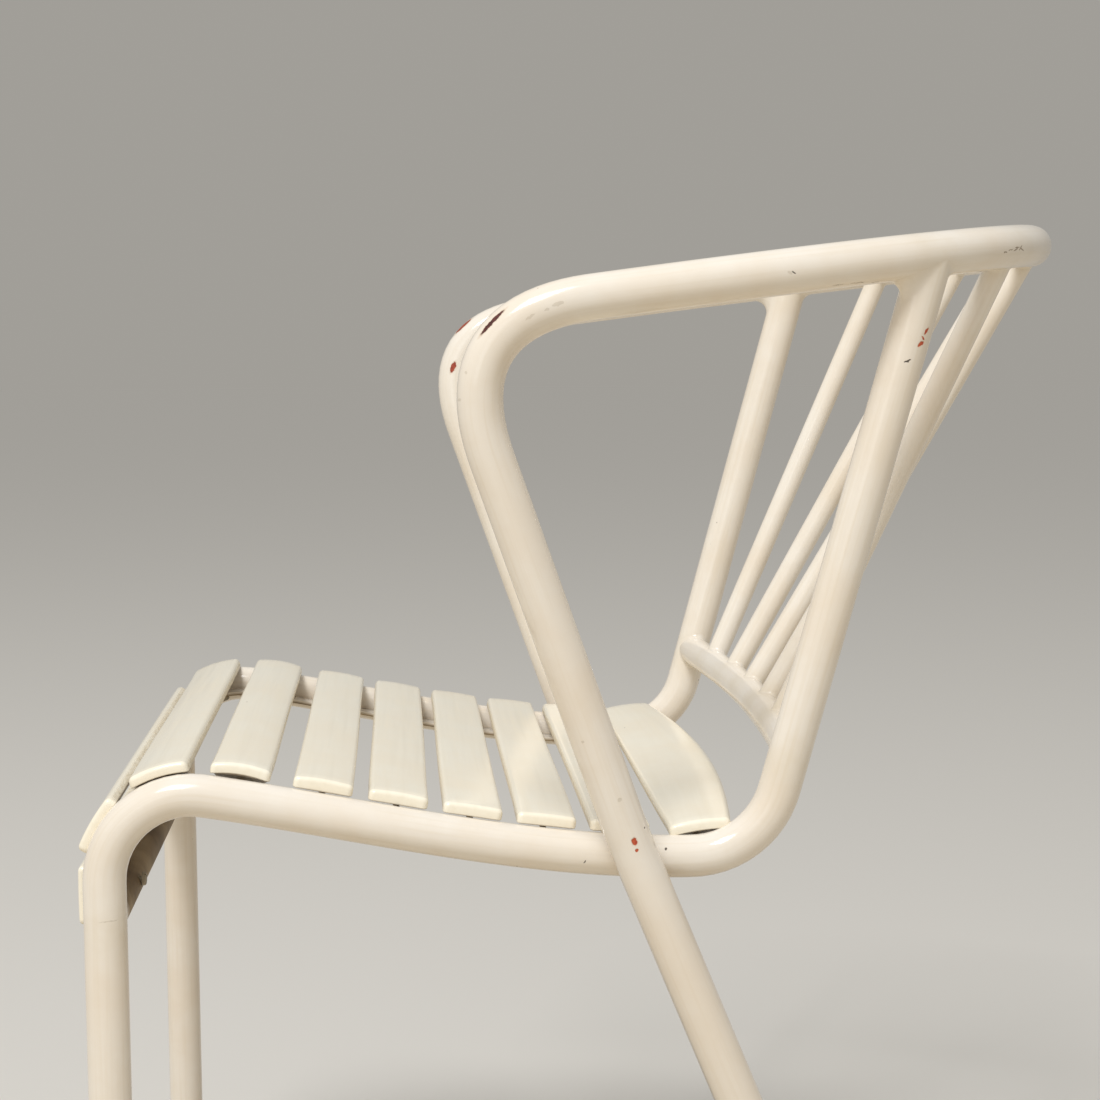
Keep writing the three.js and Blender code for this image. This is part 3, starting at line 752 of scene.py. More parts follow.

# %% [markdown]
# The boards are slightly cupped across, some more than others, and the knee carries the second one
# in a shallow notch. The rearmost board has a curved rear edge. The flatter boards bed down on the
# rail right to their ends. The hollow ones stay open there, and are thicker further in, round their
# screws. Each board also notes where its sawn sides and its underside are: the paint is thinner
# there, and their colour is darkened, partly for bare wood and dirt and partly as painted shade.

# %% Ten slats
SLAT_STATIONS = (378.5, 417.5, 454, 494, 541.4, 585.1, 628.8, 672.5, 716.2, 766)
SLAT_CUP_RISE = 2.2
SLAT_CUPS = (0.1, 0.6, 1, 1, 0.5, 0.4, 0.3, 0.3, 0.3, 0.6)
KNEE_SLAT_LET_IN = 2
SEATING_GAP = 0.3
PLACES_ACROSS = 61
BEDDING = 0.2
BEDDED_END = 16
HOLLOW_SLATS = (2, 3, 9)
SCREW_PAD = 3.6
SCREW_PAD_FROM = 8
SCREW_PAD_TO = 30
SCREW_PAD_FADE_SHARE = 0.1
UNDERSIDE_BLEND = 2
SLAT_SWAY = 0.25
SLAT_SWAY_WAVE = 71
SLAT_STRAIGHT_END = 30
# Each board takes its grain from another place in the pattern, this far on, in metres.
SLAT_GRAIN_SHIFT = (0.53, 0.11, 0)
# Where a side is sawn: from this far in, up to this height, and so far short of the ends.
SAWN_IN = 0.9
SAWN_IN_FADE = 0.8
SAWN_TOP = 4.6
SAWN_TOP_FADE = 1.2
SAWN_END = 2.5
SLAT_PIECES = []


def cup(index, across, width):
    """How far the board's hollow underside rises above its edges."""
    return SLAT_CUP_RISE * SLAT_CUPS[index] * (1 - (2 * across / width) ** 2)


def slat_lift(index, width):
    """Height of the slat's lower edges above the frame's line, so that it just clears the tube."""
    clear = FRAME_RADIUS + SEATING_GAP
    if index == 0:
        return CROSS_RADIUS + SEATING_GAP
    if index == len(SLAT_STATIONS) - 1:
        return clear
    point, run, up = frame_at(SLAT_STATIONS[index])
    near = along_frame[np.abs(frame_walked + LEG_END_HEIGHT - SLAT_STATIONS[index]) < width]
    ahead_by, above_by = (near - point) @ run, (near - point) @ up
    across = np.linspace(-width / 2, width / 2, PLACES_ACROSS)
    off = across[:, None] - ahead_by[None, :]
    reach = np.sqrt(np.maximum(clear ** 2 - off ** 2, 0))
    need = np.where(np.abs(off) < clear, above_by[None, :] + reach, -np.inf)
    lift = max((need.max(axis=1) - cup(index, across, width)).max(), clear - SLAT_CUP_RISE)
    return lift - KNEE_SLAT_LET_IN if index == 1 else lift


def reach_down(index, from_end, across, width):
    """How far the hollow underside comes down again near the rail, at a distance from the end."""
    if index in HOLLOW_SLATS:
        inner = np.clip((0.5 - np.abs(across) / width) / SCREW_PAD_FADE_SHARE, 0, 1)
        inner *= (from_end > SCREW_PAD_FROM) * (from_end < SCREW_PAD_TO)
        return inner * (cup(index, across, width) + SCREW_PAD)
    return (cup(index, across, width) + BEDDING) * (from_end < BEDDED_END) * (index > 1)


for index, station in enumerate(SLAT_STATIONS):
    rearmost = index == len(SLAT_STATIONS) - 1
    width = REAR_SLAT_WIDTH if rearmost else SLAT_WIDTH
    length = LOWEST_SLAT_LENGTH if index == 0 else SLAT_LENGTH
    slat = copy_of(board, f"seat_slat_{index + 1:02d}")
    flat = points_of(board) * 1000
    x = flat[:, 0] * length / SLAT_LENGTH
    across = flat[:, 1] * width / SLAT_WIDTH
    # A board that has been outdoors for years is never quite straight.
    sway = SLAT_SWAY * np.sin(x / SLAT_SWAY_WAVE + index * 1.7)
    sway *= np.abs(x) < length / 2 - SLAT_STRAIGHT_END
    lift = flat[:, 2] + cup(index, across, width) + slat_lift(index, width)
    low = np.clip(1 - flat[:, 2] / UNDERSIDE_BLEND, 0, 1)
    lift -= low * reach_down(index, length / 2 - np.abs(x), across, width)
    if rearmost:
        share = across / width + 0.5
        across = across + share * REAR_SLAT_BULGE * (1 - (2 * x / length) ** 2)
    move_points(slat, laid_on_frame(station, across + sway, lift, x))
    note(slat, "unbent", flat / 1000 + np.array(SLAT_GRAIN_SHIFT) * index)
    sawn = np.clip((np.abs(flat[:, 1]) - SLAT_WIDTH / 2 + SAWN_IN) / SAWN_IN_FADE, 0, 1)
    sawn *= np.clip((SAWN_TOP - flat[:, 2]) / SAWN_TOP_FADE, 0, 1)
    sawn *= np.abs(flat[:, 0]) < SLAT_LENGTH / 2 - SAWN_END
    note(slat, "sawn_side", sawn)
    note(slat, "underside", np.clip(1 - flat[:, 2] / SLAT_LOW_ROUND, 0, 1))
    SLAT_PIECES.append(slat)
    smooth(slat, 35)
    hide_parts(f"slat_{index + 1:02d}")
bpy.data.objects.remove(board)
print(len(SLAT_PIECES), "slats,", len(SLAT_PIECES[0].data.polygons), "faces each")

# %% [markdown]
# ## The ledges under the slats
#
# A steel strip is welded along the inner side of each rail, and the slats are screwed to it from
# below. The strip is a long bar with soft edges that follows the rail.

# %% Ledge strips
LEDGE_WIDTH = 15
LEDGE_THICKNESS = 3
LEDGE_DROP = 2
LEDGE_FROM = 383
LEDGE_TO = 782
LEDGE_CUTS = 79
LEDGE_ROUND = 0.6

for side, sign in HANDS:
    ledge = block(f"slat_ledge_{side}", LEDGE_TO - LEDGE_FROM, LEDGE_WIDTH, LEDGE_THICKNESS)
    bpy.ops.object.mode_set(mode="EDIT")
    select_edges(ledge, along(0))
    bpy.ops.mesh.subdivide(number_cuts=LEDGE_CUTS)
    bpy.ops.object.mode_set(mode="OBJECT")
    rounding = ledge.modifiers.new("rounding", "BEVEL")
    rounding.width = mm(LEDGE_ROUND)
    rounding.segments = 2
    rounding.limit_method = "ANGLE"
    rounding.angle_limit = math.radians(60)
    bpy.ops.object.modifier_apply(modifier="rounding")
    flat = points_of(ledge) * 1000
    note(ledge, "unbent", flat / 1000 + np.array([2 + sign, 0, 0]))
    # The lower half of the ledge is noted for a brown tone: dirt, and painted shade under the seat.
    note(ledge, "underside", (flat[:, 2] < 0) * 1.0)
    middle_x = sign * (FRAME_HALF_SPACING - FRAME_RADIUS - SEATING_GAP - LEDGE_WIDTH / 2)
    spots = np.empty_like(flat)
    for k, (s, across, lift) in enumerate(flat):
        point, run, up = frame_at(s + (LEDGE_FROM + LEDGE_TO) / 2)
        spots[k] = point + up * (lift - LEDGE_DROP - LEDGE_THICKNESS / 2)
        spots[k, 0] = middle_x + sign * across
    move_points(ledge, placed(spots))
    face_outward()
    smooth(ledge, 35)
    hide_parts(f"ledge_{side}")
    ENAMEL_PIECES.append(ledge)
    print(ledge.name, len(ledge.data.polygons), "faces")

# %% [markdown]
# ## Screws
#
# The screws are only seen from below: low round heads with a slot, painted over with the frame,
# and a bit of shank between the ledge and the slat. One is turned from a cylinder, slotted with a
# Boolean modifier and copied to its twenty places.

# %% One slotted screw
SCREW_HEAD_RADIUS = 4.1
SCREW_HEAD_HEIGHT = 2.6
SCREW_HEAD_ROUND = 1.5
SHANK_RADIUS = 2
SHANK_LENGTH = 20
SLOT_LENGTH = 12
SLOT_WIDTH = 1.1
SLOT_DEPTH = 1

deselect()
bpy.ops.mesh.primitive_cylinder_add(
    vertices=24, radius=mm(SCREW_HEAD_RADIUS), depth=mm(SCREW_HEAD_HEIGHT),
    location=(0, 0, -mm(SCREW_HEAD_HEIGHT) / 2),
)
screw = bpy.context.object
screw.name = "screw"
bpy.ops.object.transform_apply(location=True, rotation=True, scale=True)
bpy.ops.object.mode_set(mode="EDIT")
head_rim = -mm(SCREW_HEAD_HEIGHT - 0.1)
select_edges(screw, lambda a, b: (a[:, 2] < head_rim) & (b[:, 2] < head_rim))
bpy.ops.mesh.bevel(offset=mm(SCREW_HEAD_ROUND), segments=4, affect="EDGES")
bpy.ops.mesh.select_mode(type="FACE")
bpy.ops.mesh.select_all(action="DESELECT")
bpy.ops.object.mode_set(mode="OBJECT")
for face in screw.data.polygons:
    face.select = face.center.z > -mm(0.01)
bpy.ops.object.mode_set(mode="EDIT")
bpy.ops.mesh.inset(thickness=mm(SCREW_HEAD_RADIUS - SHANK_RADIUS))
bpy.ops.mesh.extrude_region_move(TRANSFORM_OT_translate={"value": (0, 0, mm(SHANK_LENGTH))})
bpy.ops.object.mode_set(mode="OBJECT")
slot_cutter = block(
    "slot_cutter", SLOT_LENGTH, SLOT_WIDTH, SLOT_DEPTH * 2, (0, 0, -mm(SCREW_HEAD_HEIGHT)),
)
slotting = screw.modifiers.new("slotting", "BOOLEAN")
slotting.object = slot_cutter
slotting.operation = "DIFFERENCE"
bpy.context.view_layer.objects.active = screw
bpy.ops.object.modifier_apply(modifier="slotting")
bpy.data.objects.remove(slot_cutter)
print("one screw", len(screw.data.polygons), "faces")

# %% [markdown]
# The heads sit under the ledge, or under the cross tube for the lowest slat. Where the rail curls,
# a head hangs a little lower so that its rim stays clear. Each slot was left at its own angle.

# %% Twenty screws
SCREW_X = 177.2
FRONT_SCREW_X = 120
FRONT_SCREW_RISE = 4
SCREW_REACH = 5.46
SCREW_PIECES = []


def screw_seat(index):
    """Height of the upper side of a screw's head above the middle line of the frame."""
    if index == 0:
        return -CROSS_RADIUS - SEATING_GAP
    point, _, up = frame_at(SLAT_STATIONS[index])
    around = [frame_at(SLAT_STATIONS[index] + s)[0] for s in (-SCREW_REACH, SCREW_REACH)]
    curl = max(0, *((point - p) @ up for p in around))
    return -LEDGE_DROP - LEDGE_THICKNESS - SEATING_GAP - curl


for index, station in enumerate(SLAT_STATIONS):
    across = FRONT_TUBE_HEIGHT + FRONT_SCREW_RISE - station if index == 0 else 0
    for side, sign in HANDS:
        piece = copy_of(screw, f"slat_screw_{index + 1:02d}_{side}")
        turn = index * 1.3 + sign
        flat = points_of(screw) * 1000
        a = flat[:, 0] * math.cos(turn) - flat[:, 1] * math.sin(turn)
        b = flat[:, 0] * math.sin(turn) + flat[:, 1] * math.cos(turn)
        x = a + sign * (FRONT_SCREW_X if index == 0 else SCREW_X)
        move_points(piece, laid_on_frame(station, b + across, flat[:, 2] + screw_seat(index), x))
        note(piece, "unbent", flat / 1000)
        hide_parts(f"screw_{index + 1:02d}_{side}")
        SCREW_PIECES.append(piece)
bpy.data.objects.remove(screw)
print(len(SCREW_PIECES), "screws")

# %% [markdown]
# ## Rubber foot caps
#
# The feet are outside the photograph. A chair like this stands on moulded rubber cups pushed over
# the ends of its legs. A cup is drawn from its floor upward, ring by ring, and the cups of the
# rear legs lean with them.

# %% Foot caps
CAP_WALL = 2.6
CAP_HEIGHT = 24
CAP_FACES = 48
CAP_INSIDE_FLOOR = LEG_END_HEIGHT - SEATING_GAP
CAP_BAND_DEPTH = 0.5
CAP_LOW_BAND_TOP = 4.5
CAP_HIGH_BAND_FROM = 20
RUBBER_PIECES = []


def rubber_cup(name, leg_radius):
    """An upright cup round a leg, its floor on the ground."""
    inner = leg_radius + SEATING_GAP
    outer = (inner + CAP_WALL) * 0.985
    deselect()
    bpy.ops.mesh.primitive_circle_add(vertices=CAP_FACES, radius=mm(outer - 1), fill_type="NGON")
    cup_piece = bpy.context.object
    cup_piece.name = name
    bpy.ops.object.mode_set(mode="EDIT")
    bpy.ops.mesh.select_all(action="SELECT")
    # Each step grows the open edge: a new radius and a new height.
    waist = outer - CAP_BAND_DEPTH
    steps = (
        (outer - 0.3, 0.35), (outer, 1.1), (outer, CAP_LOW_BAND_TOP),
        (waist, CAP_LOW_BAND_TOP + CAP_BAND_DEPTH), (waist, CAP_HIGH_BAND_FROM - CAP_BAND_DEPTH),
        (outer, CAP_HIGH_BAND_FROM), (outer, CAP_HEIGHT - 1), (outer - 0.4, CAP_HEIGHT - 0.25),
        (outer - 1.1, CAP_HEIGHT), (inner + 0.5, CAP_HEIGHT), (inner, CAP_HEIGHT - 0.6),
        (inner, CAP_INSIDE_FLOOR),
    )
    radius, height = outer - 1, 0
    for new_radius, new_height in steps:
        bpy.ops.mesh.extrude_region_move(
            TRANSFORM_OT_translate={"value": (0, 0, mm(new_height - height))}
        )
        factor = new_radius / radius
        bpy.ops.transform.resize(value=(factor, factor, 1), center_override=(0, 0, 0))
        radius, height = new_radius, new_height
    face_outward()
    smooth(cup_piece, 40)
    return cup_piece


front_foot = np.array([FRAME_HALF_SPACING, FRONT_LEG_Y, 0])
rear_foot = np.array([*REAR_FOOT, 0])
for place, leg_radius, start, onward in (
    ("front", FRAME_RADIUS, front_foot, np.array([0, 0, 1.0])),
    ("rear", ARM_RADIUS, rear_foot, np.array(CROSSING) - rear_foot),
):
    onward = onward / np.linalg.norm(onward)
    for side, sign in HANDS:
        piece = rubber_cup(f"rubber_cap_{place}_{side}", leg_radius)
        flat = points_of(piece) * 1000
        note(piece, "unbent", flat / 1000)
        lean = onward * np.array([sign, 1, 1])
        level = np.array([lean[0], lean[1], 0])
        if np.linalg.norm(level) > 0:
            level /= np.linalg.norm(level)
            flat += np.outer(flat @ level, level) * (1 / lean[2] - 1)
        flat += np.outer(flat[:, 2], lean / lean[2]) - np.outer(flat[:, 2], [0, 0, 1])
        flat += start * np.array([sign, 1, 1])
        move_points(piece, placed(flat))
        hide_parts(f"foot_cap_{place}_{side}")
        RUBBER_PIECES.append(piece)
print(len(RUBBER_PIECES), "rubber caps")

# %% [markdown]
# Paint gathers and dirt stays in the corners round each joint, and shade falls there. Every
# enamelled point notes how close it is to a weld, and the paint uses that for a darker tone: pooled
# paint and dirt, and painted shade of the corner.

# %% Closeness to the welds
JOINT_REACH = 14
for piece in ENAMEL_PIECES:
    spots = points_of(piece)
    close = np.zeros(len(spots))
    for tip, other_radius in JOINTS:
        away = (np.linalg.norm(spots - tip, axis=1) - other_radius) / mm(JOINT_REACH)
        close = np.maximum(close, np.clip(1 - away, 0, 1))
    note(piece, "joint", close)
print(len(JOINTS), "welded joints")

# %% [markdown]
# ## Materials
#
# Colours are written as on a paint card, in sRGB, and one function turns them into the linear
# values that Blender mixes. One more small function adds a node with its settings and its links.

# %% Colour and node helpers
def linear(code):
    """An sRGB colour such as EDE4D1 as linear red, green, blue and alpha."""
    parts = [int(code[k:k + 2], 16) / 255 for k in (0, 2, 4)]
    return (*(c / 12.92 if c <= 0.04045 else ((c + 0.055) / 1.055) ** 2.4 for c in parts), 1)


def add_node(tree, kind, inputs=None, **settings):
    """Adds a node. Each input is a value, or the output socket of another node to link from."""
    new = tree.nodes.new("ShaderNode" + kind)
    for name, value in settings.items():
        setattr(new, name, value)
    for name, value in (inputs or {}).items():
        if isinstance(value, bpy.types.NodeSocket):
            tree.links.new(value, new.inputs[name])
        else:
            new.inputs[name].default_value = value
    return new


def new_material(name):
    """An empty node material and its output node."""
    material = bpy.data.materials.new(name)
    material.use_nodes = True
    tree = material.node_tree
    tree.nodes.clear()
    return material, tree, add_node(tree, "OutputMaterial")


def mix_colour(tree, share, first, second):
    """A blend of two colours; in a Mix node set to colour, 6 and 7 are the two and 2 is the result."""
    return add_node(tree, "Mix", {0: share, 6: first, 7: second}, data_type="RGBA").outputs[2]


def scaled(tree, vector, *sizes):
    """A coordinate divided by a real size in millimetres along each axis."""
    return add_node(
        tree, "Mapping", {"Vector": vector, "Scale": [1 / mm(s) for s in sizes]}, vector_type="POINT",
    ).outputs[0]


def noise(tree, coordinate, detail, roughness=0.5, distortion=0.0):
    """The outputs of a noise texture on a coordinate that is scaled already."""
    return add_node(tree, "TexNoise", {
        "Vector": coordinate, "Scale": 1.0, "Detail": detail, "Roughness": roughness,
        "Distortion": distortion,
    }).outputs


def noted(tree, name, output="Fac"):
    """What each vertex has noted under a name."""
    return add_node(tree, "Attribute", attribute_name=name).outputs[output]


def of_two(tree, operation, first, second):
    """One number made from two, such as their sum or their product."""
    return add_node(tree, "Math", {0: first, 1: second}, operation=operation).outputs[0]


def ramp(tree, value, low, high, start=0.0, end=1.0):
    """A value from low to high turned into one from start to end, held at both ends."""
    return add_node(
        tree, "MapRange", {"Value": value, 1: low, 2: high, 3: start, 4: end}, clamp=True,
    ).outputs[0]


def sum_of(tree, *parts):
    """Adds numbers up; each part is (socket, weight)."""
    total = None
    for socket, weight in parts:
        grown = of_two(tree, "MULTIPLY", socket, weight)
        total = grown if total is None else of_two(tree, "ADD", total, grown)
    return total


# %% [markdown]
# ### Where the paint is worn
#
# Years of knocks have chipped the enamel down to its red primer on the arm bends, a post and a
# rear leg. Each mark is an ellipsoid on the surface: its place, the way it runs, half its length
# and half its width. A little noise makes its rim ragged.

# %% Worn places
# Each mark is (place, run, outward, half length, half width), in millimetres of the scene.
ARM_MARKS = {
    "primer": (
        ((247.8, -66.8, 705.5), (0, 0.7, 0.71), (0.72, -0.5, 0.5), 9.6, 1.5),
    ),
    "undercoat": (
        ((-236.0, -66.7, 710.9), (0, 0.66, 0.75), (0.1, -0.8, 0.6), 9.2, 2.8),
        ((-226.0, -74.6, 678.0), (0, 0.35, 0.94), (0.6, -0.8, 0.2), 4.6, 1.5),
    ),
    "red": (
        ((237.2, 11.4, 416.6), (0, 0.2, -0.98), (1, 0, 0), 2.2, 1.6),
        ((236.9, 12.7, 411.6), (0, 0.1, -0.99), (1, 0, 0), 1.0, 0.8),
        ((-247.6, 40.0, 719.5), (0, 1, 0.1), (-1, 0, 0.5), 3.4, 0.9),
        ((60.0, 340.6, 747.2), (1, 0, 0), (0, 0.9, 0.4), 3.0, 0.9),
    ),
    "nick": (
        ((232.5, 17.7, 423.2), (0, 0, 1), (1, 0, 0), 0.6, 0.5),
        ((245.2, 97.8, 731.7), (0, 0.75, -0.66), (1, 0, 0), 1.4, 0.45),
    ),
    "scuff": (
        ((184.6, 232.9, 745.4), (-0.6, 0.75, 0.05), (0.8, 0.5, 0), 2.0, 0.45),
        ((180.6, 237.1, 746.9), (-0.6, 0.75, 0.2), (0.8, 0.5, 0), 3.0, 0.35),
        ((176.0, 241.6, 747.2), (-0.6, 0.72, 0.35), (0.8, 0.6, 0), 2.8, 0.4),
        ((174.6, 243.0, 748.6), (-0.6, 0.75, 0.1), (0.8, 0.6, 0), 3.2, 0.4),
        ((171.5, 246.2, 748.6), (-0.5, 0.6, 0.62), (0.8, 0.6, 0), 2.6, 0.45),
        ((169.5, 247.8, 747.6), (-0.6, 0.75, -0.3), (0.8, 0.6, 0), 2.8, 0.4),
        ((234.6, 124.4, 725.3), (-0.2, 0.97, 0.1), (0.5, 0, -0.8), 3.8, 0.3),
        ((231.6, 136.2, 726.4), (-0.3, 0.95, 0.1), (0.5, 0, -0.8), 4.8, 0.35),
        ((226.6, 147.2, 727.0), (-0.3, 0.95, 0.1), (0.5, 0, -0.8), 3.0, 0.3),
    ),
    "graze": (
        ((245.4, 95.6, 731.6), (0, 0.85, -0.5), (1, 0, 0), 1.6, 0.8),
        ((252.6, -31.5, 715.0), (0, 0.94, 0.34), (1, 0, 0), 3.6, 1.1),
        ((252.6, -37.4, 712.0), (0, 0.9, 0.43), (1, 0, 0), 1.6, 0.7),
        ((252.5, -46.3, 708.2), (0, 0.82, 0.57), (1, 0, 0), 3.2, 0.7),
        ((246.7, -80.9, 678.4), (0, 0, 1), (1, 0, 0), 0.9, 0.7),
        ((243.1, -84.2, 663.8), (0, 0, 1), (1, 0, 0), 0.9, 0.7),
        ((238.8, -17.6, 474.1), (0, 0, 1), (1, 0, 0), 0.9, 0.7),
        ((238.3, 3.0, 440.8), (0, 0, 1), (1, 0, 0), 1.3, 1.2),
    ),
}
FRAME_MARKS = {
    "red": (
        ((215.4, 176.2, 692.8), (0, 0.75, 0.66), (1, 0, 0), 2.3, 1.1),
        ((215.2, 177.6, 696.2), (0, 0.6, -0.8), (1, 0, 0), 1.6, 0.45),
        ((215.1, 179.6, 700.1), (0, 0.55, 0.83), (1, 0, 0), 2.4, 0.7),
        ((-209.6, 120.0, 560.0), (0, 0.3, 0.95), (-1, 0, 0), 2.2, 1.0),
    ),
    "nick": (
        ((216.3, 168.6, 683.4), (0, 0.95, 0.25), (1, 0, 0), 2.2, 0.65),
        ((208.5, 32.8, 404.9), (0, 1, 0), (1, 0, 0), 0.8, 0.7),
        ((197.4, -121.0, 430.9), (0, 0.95, -0.2), (0.3, 0, 1), 2.2, 0.7),
        ((197.0, -105.0, 432.2), (0, 1, 0), (0.6, 0, 0.8), 1.0, 0.6),
        ((210.1, -14.1, 398.9), (0, 0.5, 0.8), (1, 0, 0), 1.2, 0.4),
    ),
    "graze": (
        ((209.0, -284.2, 370.9), (0, 1, 0.04), (1, 0, 0), 6.0, 0.35),
    ),
}
MARK_DEPTH = 5


def worn_by(tree, spot, marks):
    """How far a point is outside the nearest of some marks, 1 being the rim."""
    nearest = None
    for place, run, outward, half_length, half_width in marks:
        run = Vector(run).normalized()
        side = Vector(outward).cross(run).normalized()
        turned = Matrix((run, side, run.cross(side))).transposed().to_euler()
        local = add_node(tree, "Mapping", {
            "Vector": spot,
            "Location": [mm(p) for p in place],
            "Rotation": turned,
            "Scale": [mm(half_length), mm(half_width), mm(MARK_DEPTH)],
        }, vector_type="TEXTURE").outputs[0]
        away = add_node(tree, "VectorMath", {0: local}, operation="LENGTH").outputs["Value"]
        nearest = away if nearest is None else of_two(tree, "MINIMUM", nearest, away)
    return nearest


# %% [markdown]
# ### Brushed gloss enamel on steel
#
# Oil enamel laid on with a brush dries to a glossy, slightly uneven skin. Light slides along it in
# soft lines that waver where the coat is thick, and faint ridges follow the brush. It yellows with
# age, more so where it pooled at the joints, where painted shade also darkens it, and it chips to
# the red primer and the steel.

# %% Enamel
def gloss_paint(name, fresh, aged, pooled, ridge_size, roughness_range):
    """What every paint of the chair shares: the material, its tree and shader, and its pattern."""
    material, tree, output = new_material(name)
    unbent = noted(tree, "unbent", "Vector")
    spot = add_node(tree, "TexCoord").outputs["Object"]
    # Brush ridges are long along the piece and a few millimetres apart across it.
    ridges = noise(tree, scaled(tree, unbent, 90, ridge_size, ridge_size), 1.0)["Fac"]
    # The thick coat swells and sinks over a few centimetres.
    swell = noise(tree, scaled(tree, unbent, 60, 16, 16), 1.0)["Fac"]
    # It has yellowed in patches.
    cloud = noise(tree, scaled(tree, spot, 70, 70, 70), 4.0, 0.6)["Fac"]
    # Dust settled in the wet paint and left tiny hard points, one every few centimetres.
    dust = add_node(
        tree, "TexVoronoi", {"Vector": scaled(tree, spot, 21, 21, 21), "Scale": 1.0}, feature="F1",
    ).outputs
    rare = add_node(tree, "SeparateColor", {"Color": dust["Color"]}).outputs["Red"]
    speck = of_two(tree, "MULTIPLY", ramp(tree, dust["Distance"], 0.018, 0.034, 1.0, 0.0),
                   ramp(tree, rare, 0.62, 0.64))
    colour = mix_colour(tree, ramp(tree, cloud, 0.38, 0.66), linear(fresh), linear(aged))
    colour = mix_colour(tree, ramp(tree, ridges, 0.5, 0.8, 0.0, 0.3), colour, linear(pooled))
    shader = add_node(tree, "BsdfPrincipled", {"IOR": 1.5})
    roughness = of_two(tree, "ADD", ramp(tree, cloud, 0.3, 0.7, *roughness_range),
                       ramp(tree, ridges, 0.3, 0.8, -0.03, 0.05))
    tree.links.new(shader.outputs[0], output.inputs["Surface"])
    return material, tree, shader, {
        "spot": spot, "unbent": unbent, "colour": colour, "roughness": roughness,
        "ridges": ridges, "swell": swell, "speck": speck, "cloud": cloud,
    }


def finish_paint(tree, shader, colour, roughness, height):
    """Links the colour, the gloss and the relief, whose height is in millimetres."""
    bump = add_node(tree, "Bump", {"Strength": 1.0, "Distance": mm(1), "Height": height})
    tree.links.new(bump.outputs[0], shader.inputs["Normal"])
    tree.links.new(colour, shader.inputs["Base Color"])
    tree.links.new(roughness, shader.inputs["Roughness"])


# %% [markdown]
# The marks differ from tube to tube, so each worn tube gets its own enamel, built by one function.
# A mark shows the dark primer, a red undercoat, a brown scuff, a dark nick, or a grey graze. The
# undersides of the ledges were left almost bare, and they are painted brown for rust and dirt and
# for the shade under the seat.

# %% Enamel with its wear
# (colour of the bared patch and of its deeper spots, how much it covers, depth in millimetres)
WEAR = {
    "graze": ("B3A58B", "9C8E76", 0.28, 0.02),
    "scuff": ("9A835F", "6B573C", 0.8, 0.03),
    "nick": ("4B4033", "3A3128", 0.9, 0.12),
    "red": ("B5442A", "C9603C", 1.0, 0.2),
    "undercoat": ("8A2E1E", "B04A2A", 1.0, 0.22),
    "primer": ("4A241E", "63302A", 1.0, 0.25),
}
RIM_WANDER = 1.5


def tube_enamel(name, marks):
    """The enamel of a tube, with its own worn places."""
    material, tree, shader, skin = gloss_paint(
        name, "F2EADD", "EDE1CF", "E1D2B9", 2.5, (0.1, 0.2),
    )
    # A darker tone near the welds: pooled paint and dirt, and painted shade in the corners of the
    # joints.
    corner_shade_and_pooling = of_two(tree, "MULTIPLY", noted(tree, "joint"),
                   ramp(tree, skin["cloud"], 0.35, 0.65, 0.05, 0.35))
    colour = mix_colour(tree, corner_shade_and_pooling, skin["colour"], linear("D6C7A8"))
    colour = mix_colour(tree, skin["speck"], colour, linear("7A6A52"))
    # Undersides are painted brown: partly rust and dirt, partly painted shade under the seat.
    under = noted(tree, "underside")
    dirt_and_shade_brown = mix_colour(tree, ramp(tree, skin["cloud"], 0.4, 0.65), linear("A38E6E"), linear("6F5D47"))
    colour = mix_colour(tree, under, colour, dirt_and_shade_brown)
    roughness = of_two(tree, "ADD", skin["roughness"], ramp(tree, under, 0, 1, 0.0, 0.5))
    parts = [(skin["ridges"], 0.015), (skin["swell"], 0.16), (skin["speck"], 0.03)]
    # The rim of a mark wanders by a few tenths of a millimetre.
    fray = noise(tree, scaled(tree, skin["spot"], 1.8, 1.8, 1.8), 2.0)
    off = add_node(tree, "VectorMath", {0: fray["Color"], 1: (0.5, 0.5, 0.5)},
                   operation="SUBTRACT").outputs[0]
    off = add_node(tree, "VectorMath", {0: off, "Scale": mm(RIM_WANDER)}, operation="SCALE").outputs[0]
    spot = add_node(tree, "VectorMath", {0: skin["spot"], 1: off}, operation="ADD").outputs[0]
    for kind, (bared, deeper, cover, depth) in WEAR.items():
        if kind not in marks:
            continue
        away = worn_by(tree, spot, marks[kind])
        inside = ramp(tree, away, 0.85, 1.05, cover, 0.0)
        tone = mix_colour(tree, ramp(tree, fray["Fac"], 0.35, 0.65), linear(bared), linear(deeper))
        if kind in ("red", "undercoat", "primer"):
            # A chip has a stained rim and is dull inside.
            colour = mix_colour(tree, ramp(tree, away, 1.0, 1.4, 0.45, 0.0), colour, linear("C9AE8C"))
            roughness = of_two(tree, "ADD", roughness, ramp(tree, inside, 0, 1, 0.0, 0.3))
        colour = mix_colour(tree, inside, colour, tone)
        parts.append((inside, -depth))
    finish_paint(tree, shader, colour, roughness, sum_of(tree, *parts))
    print(name, len(tree.nodes), "nodes")
    return material


arm_enamel = tube_enamel("brushed_enamel_on_arm_tube", ARM_MARKS)
frame_enamel = tube_enamel("brushed_enamel_on_side_frames", FRAME_MARKS)
plain_enamel = tube_enamel("brushed_enamel_on_steel", {})

# %% [markdown]
# ### The same paint on wood
#
# On the slats the paint lies over wood, so the grain still shows as faint lines along the board.
# The sawn sides between the slats took less paint, so tan wood and specks of dirt show through, and
# their lower parts are also darkened as painted shade of the narrow gaps.
# The undersides were hardly painted and are brown: partly dirt, partly painted shade under the seat.

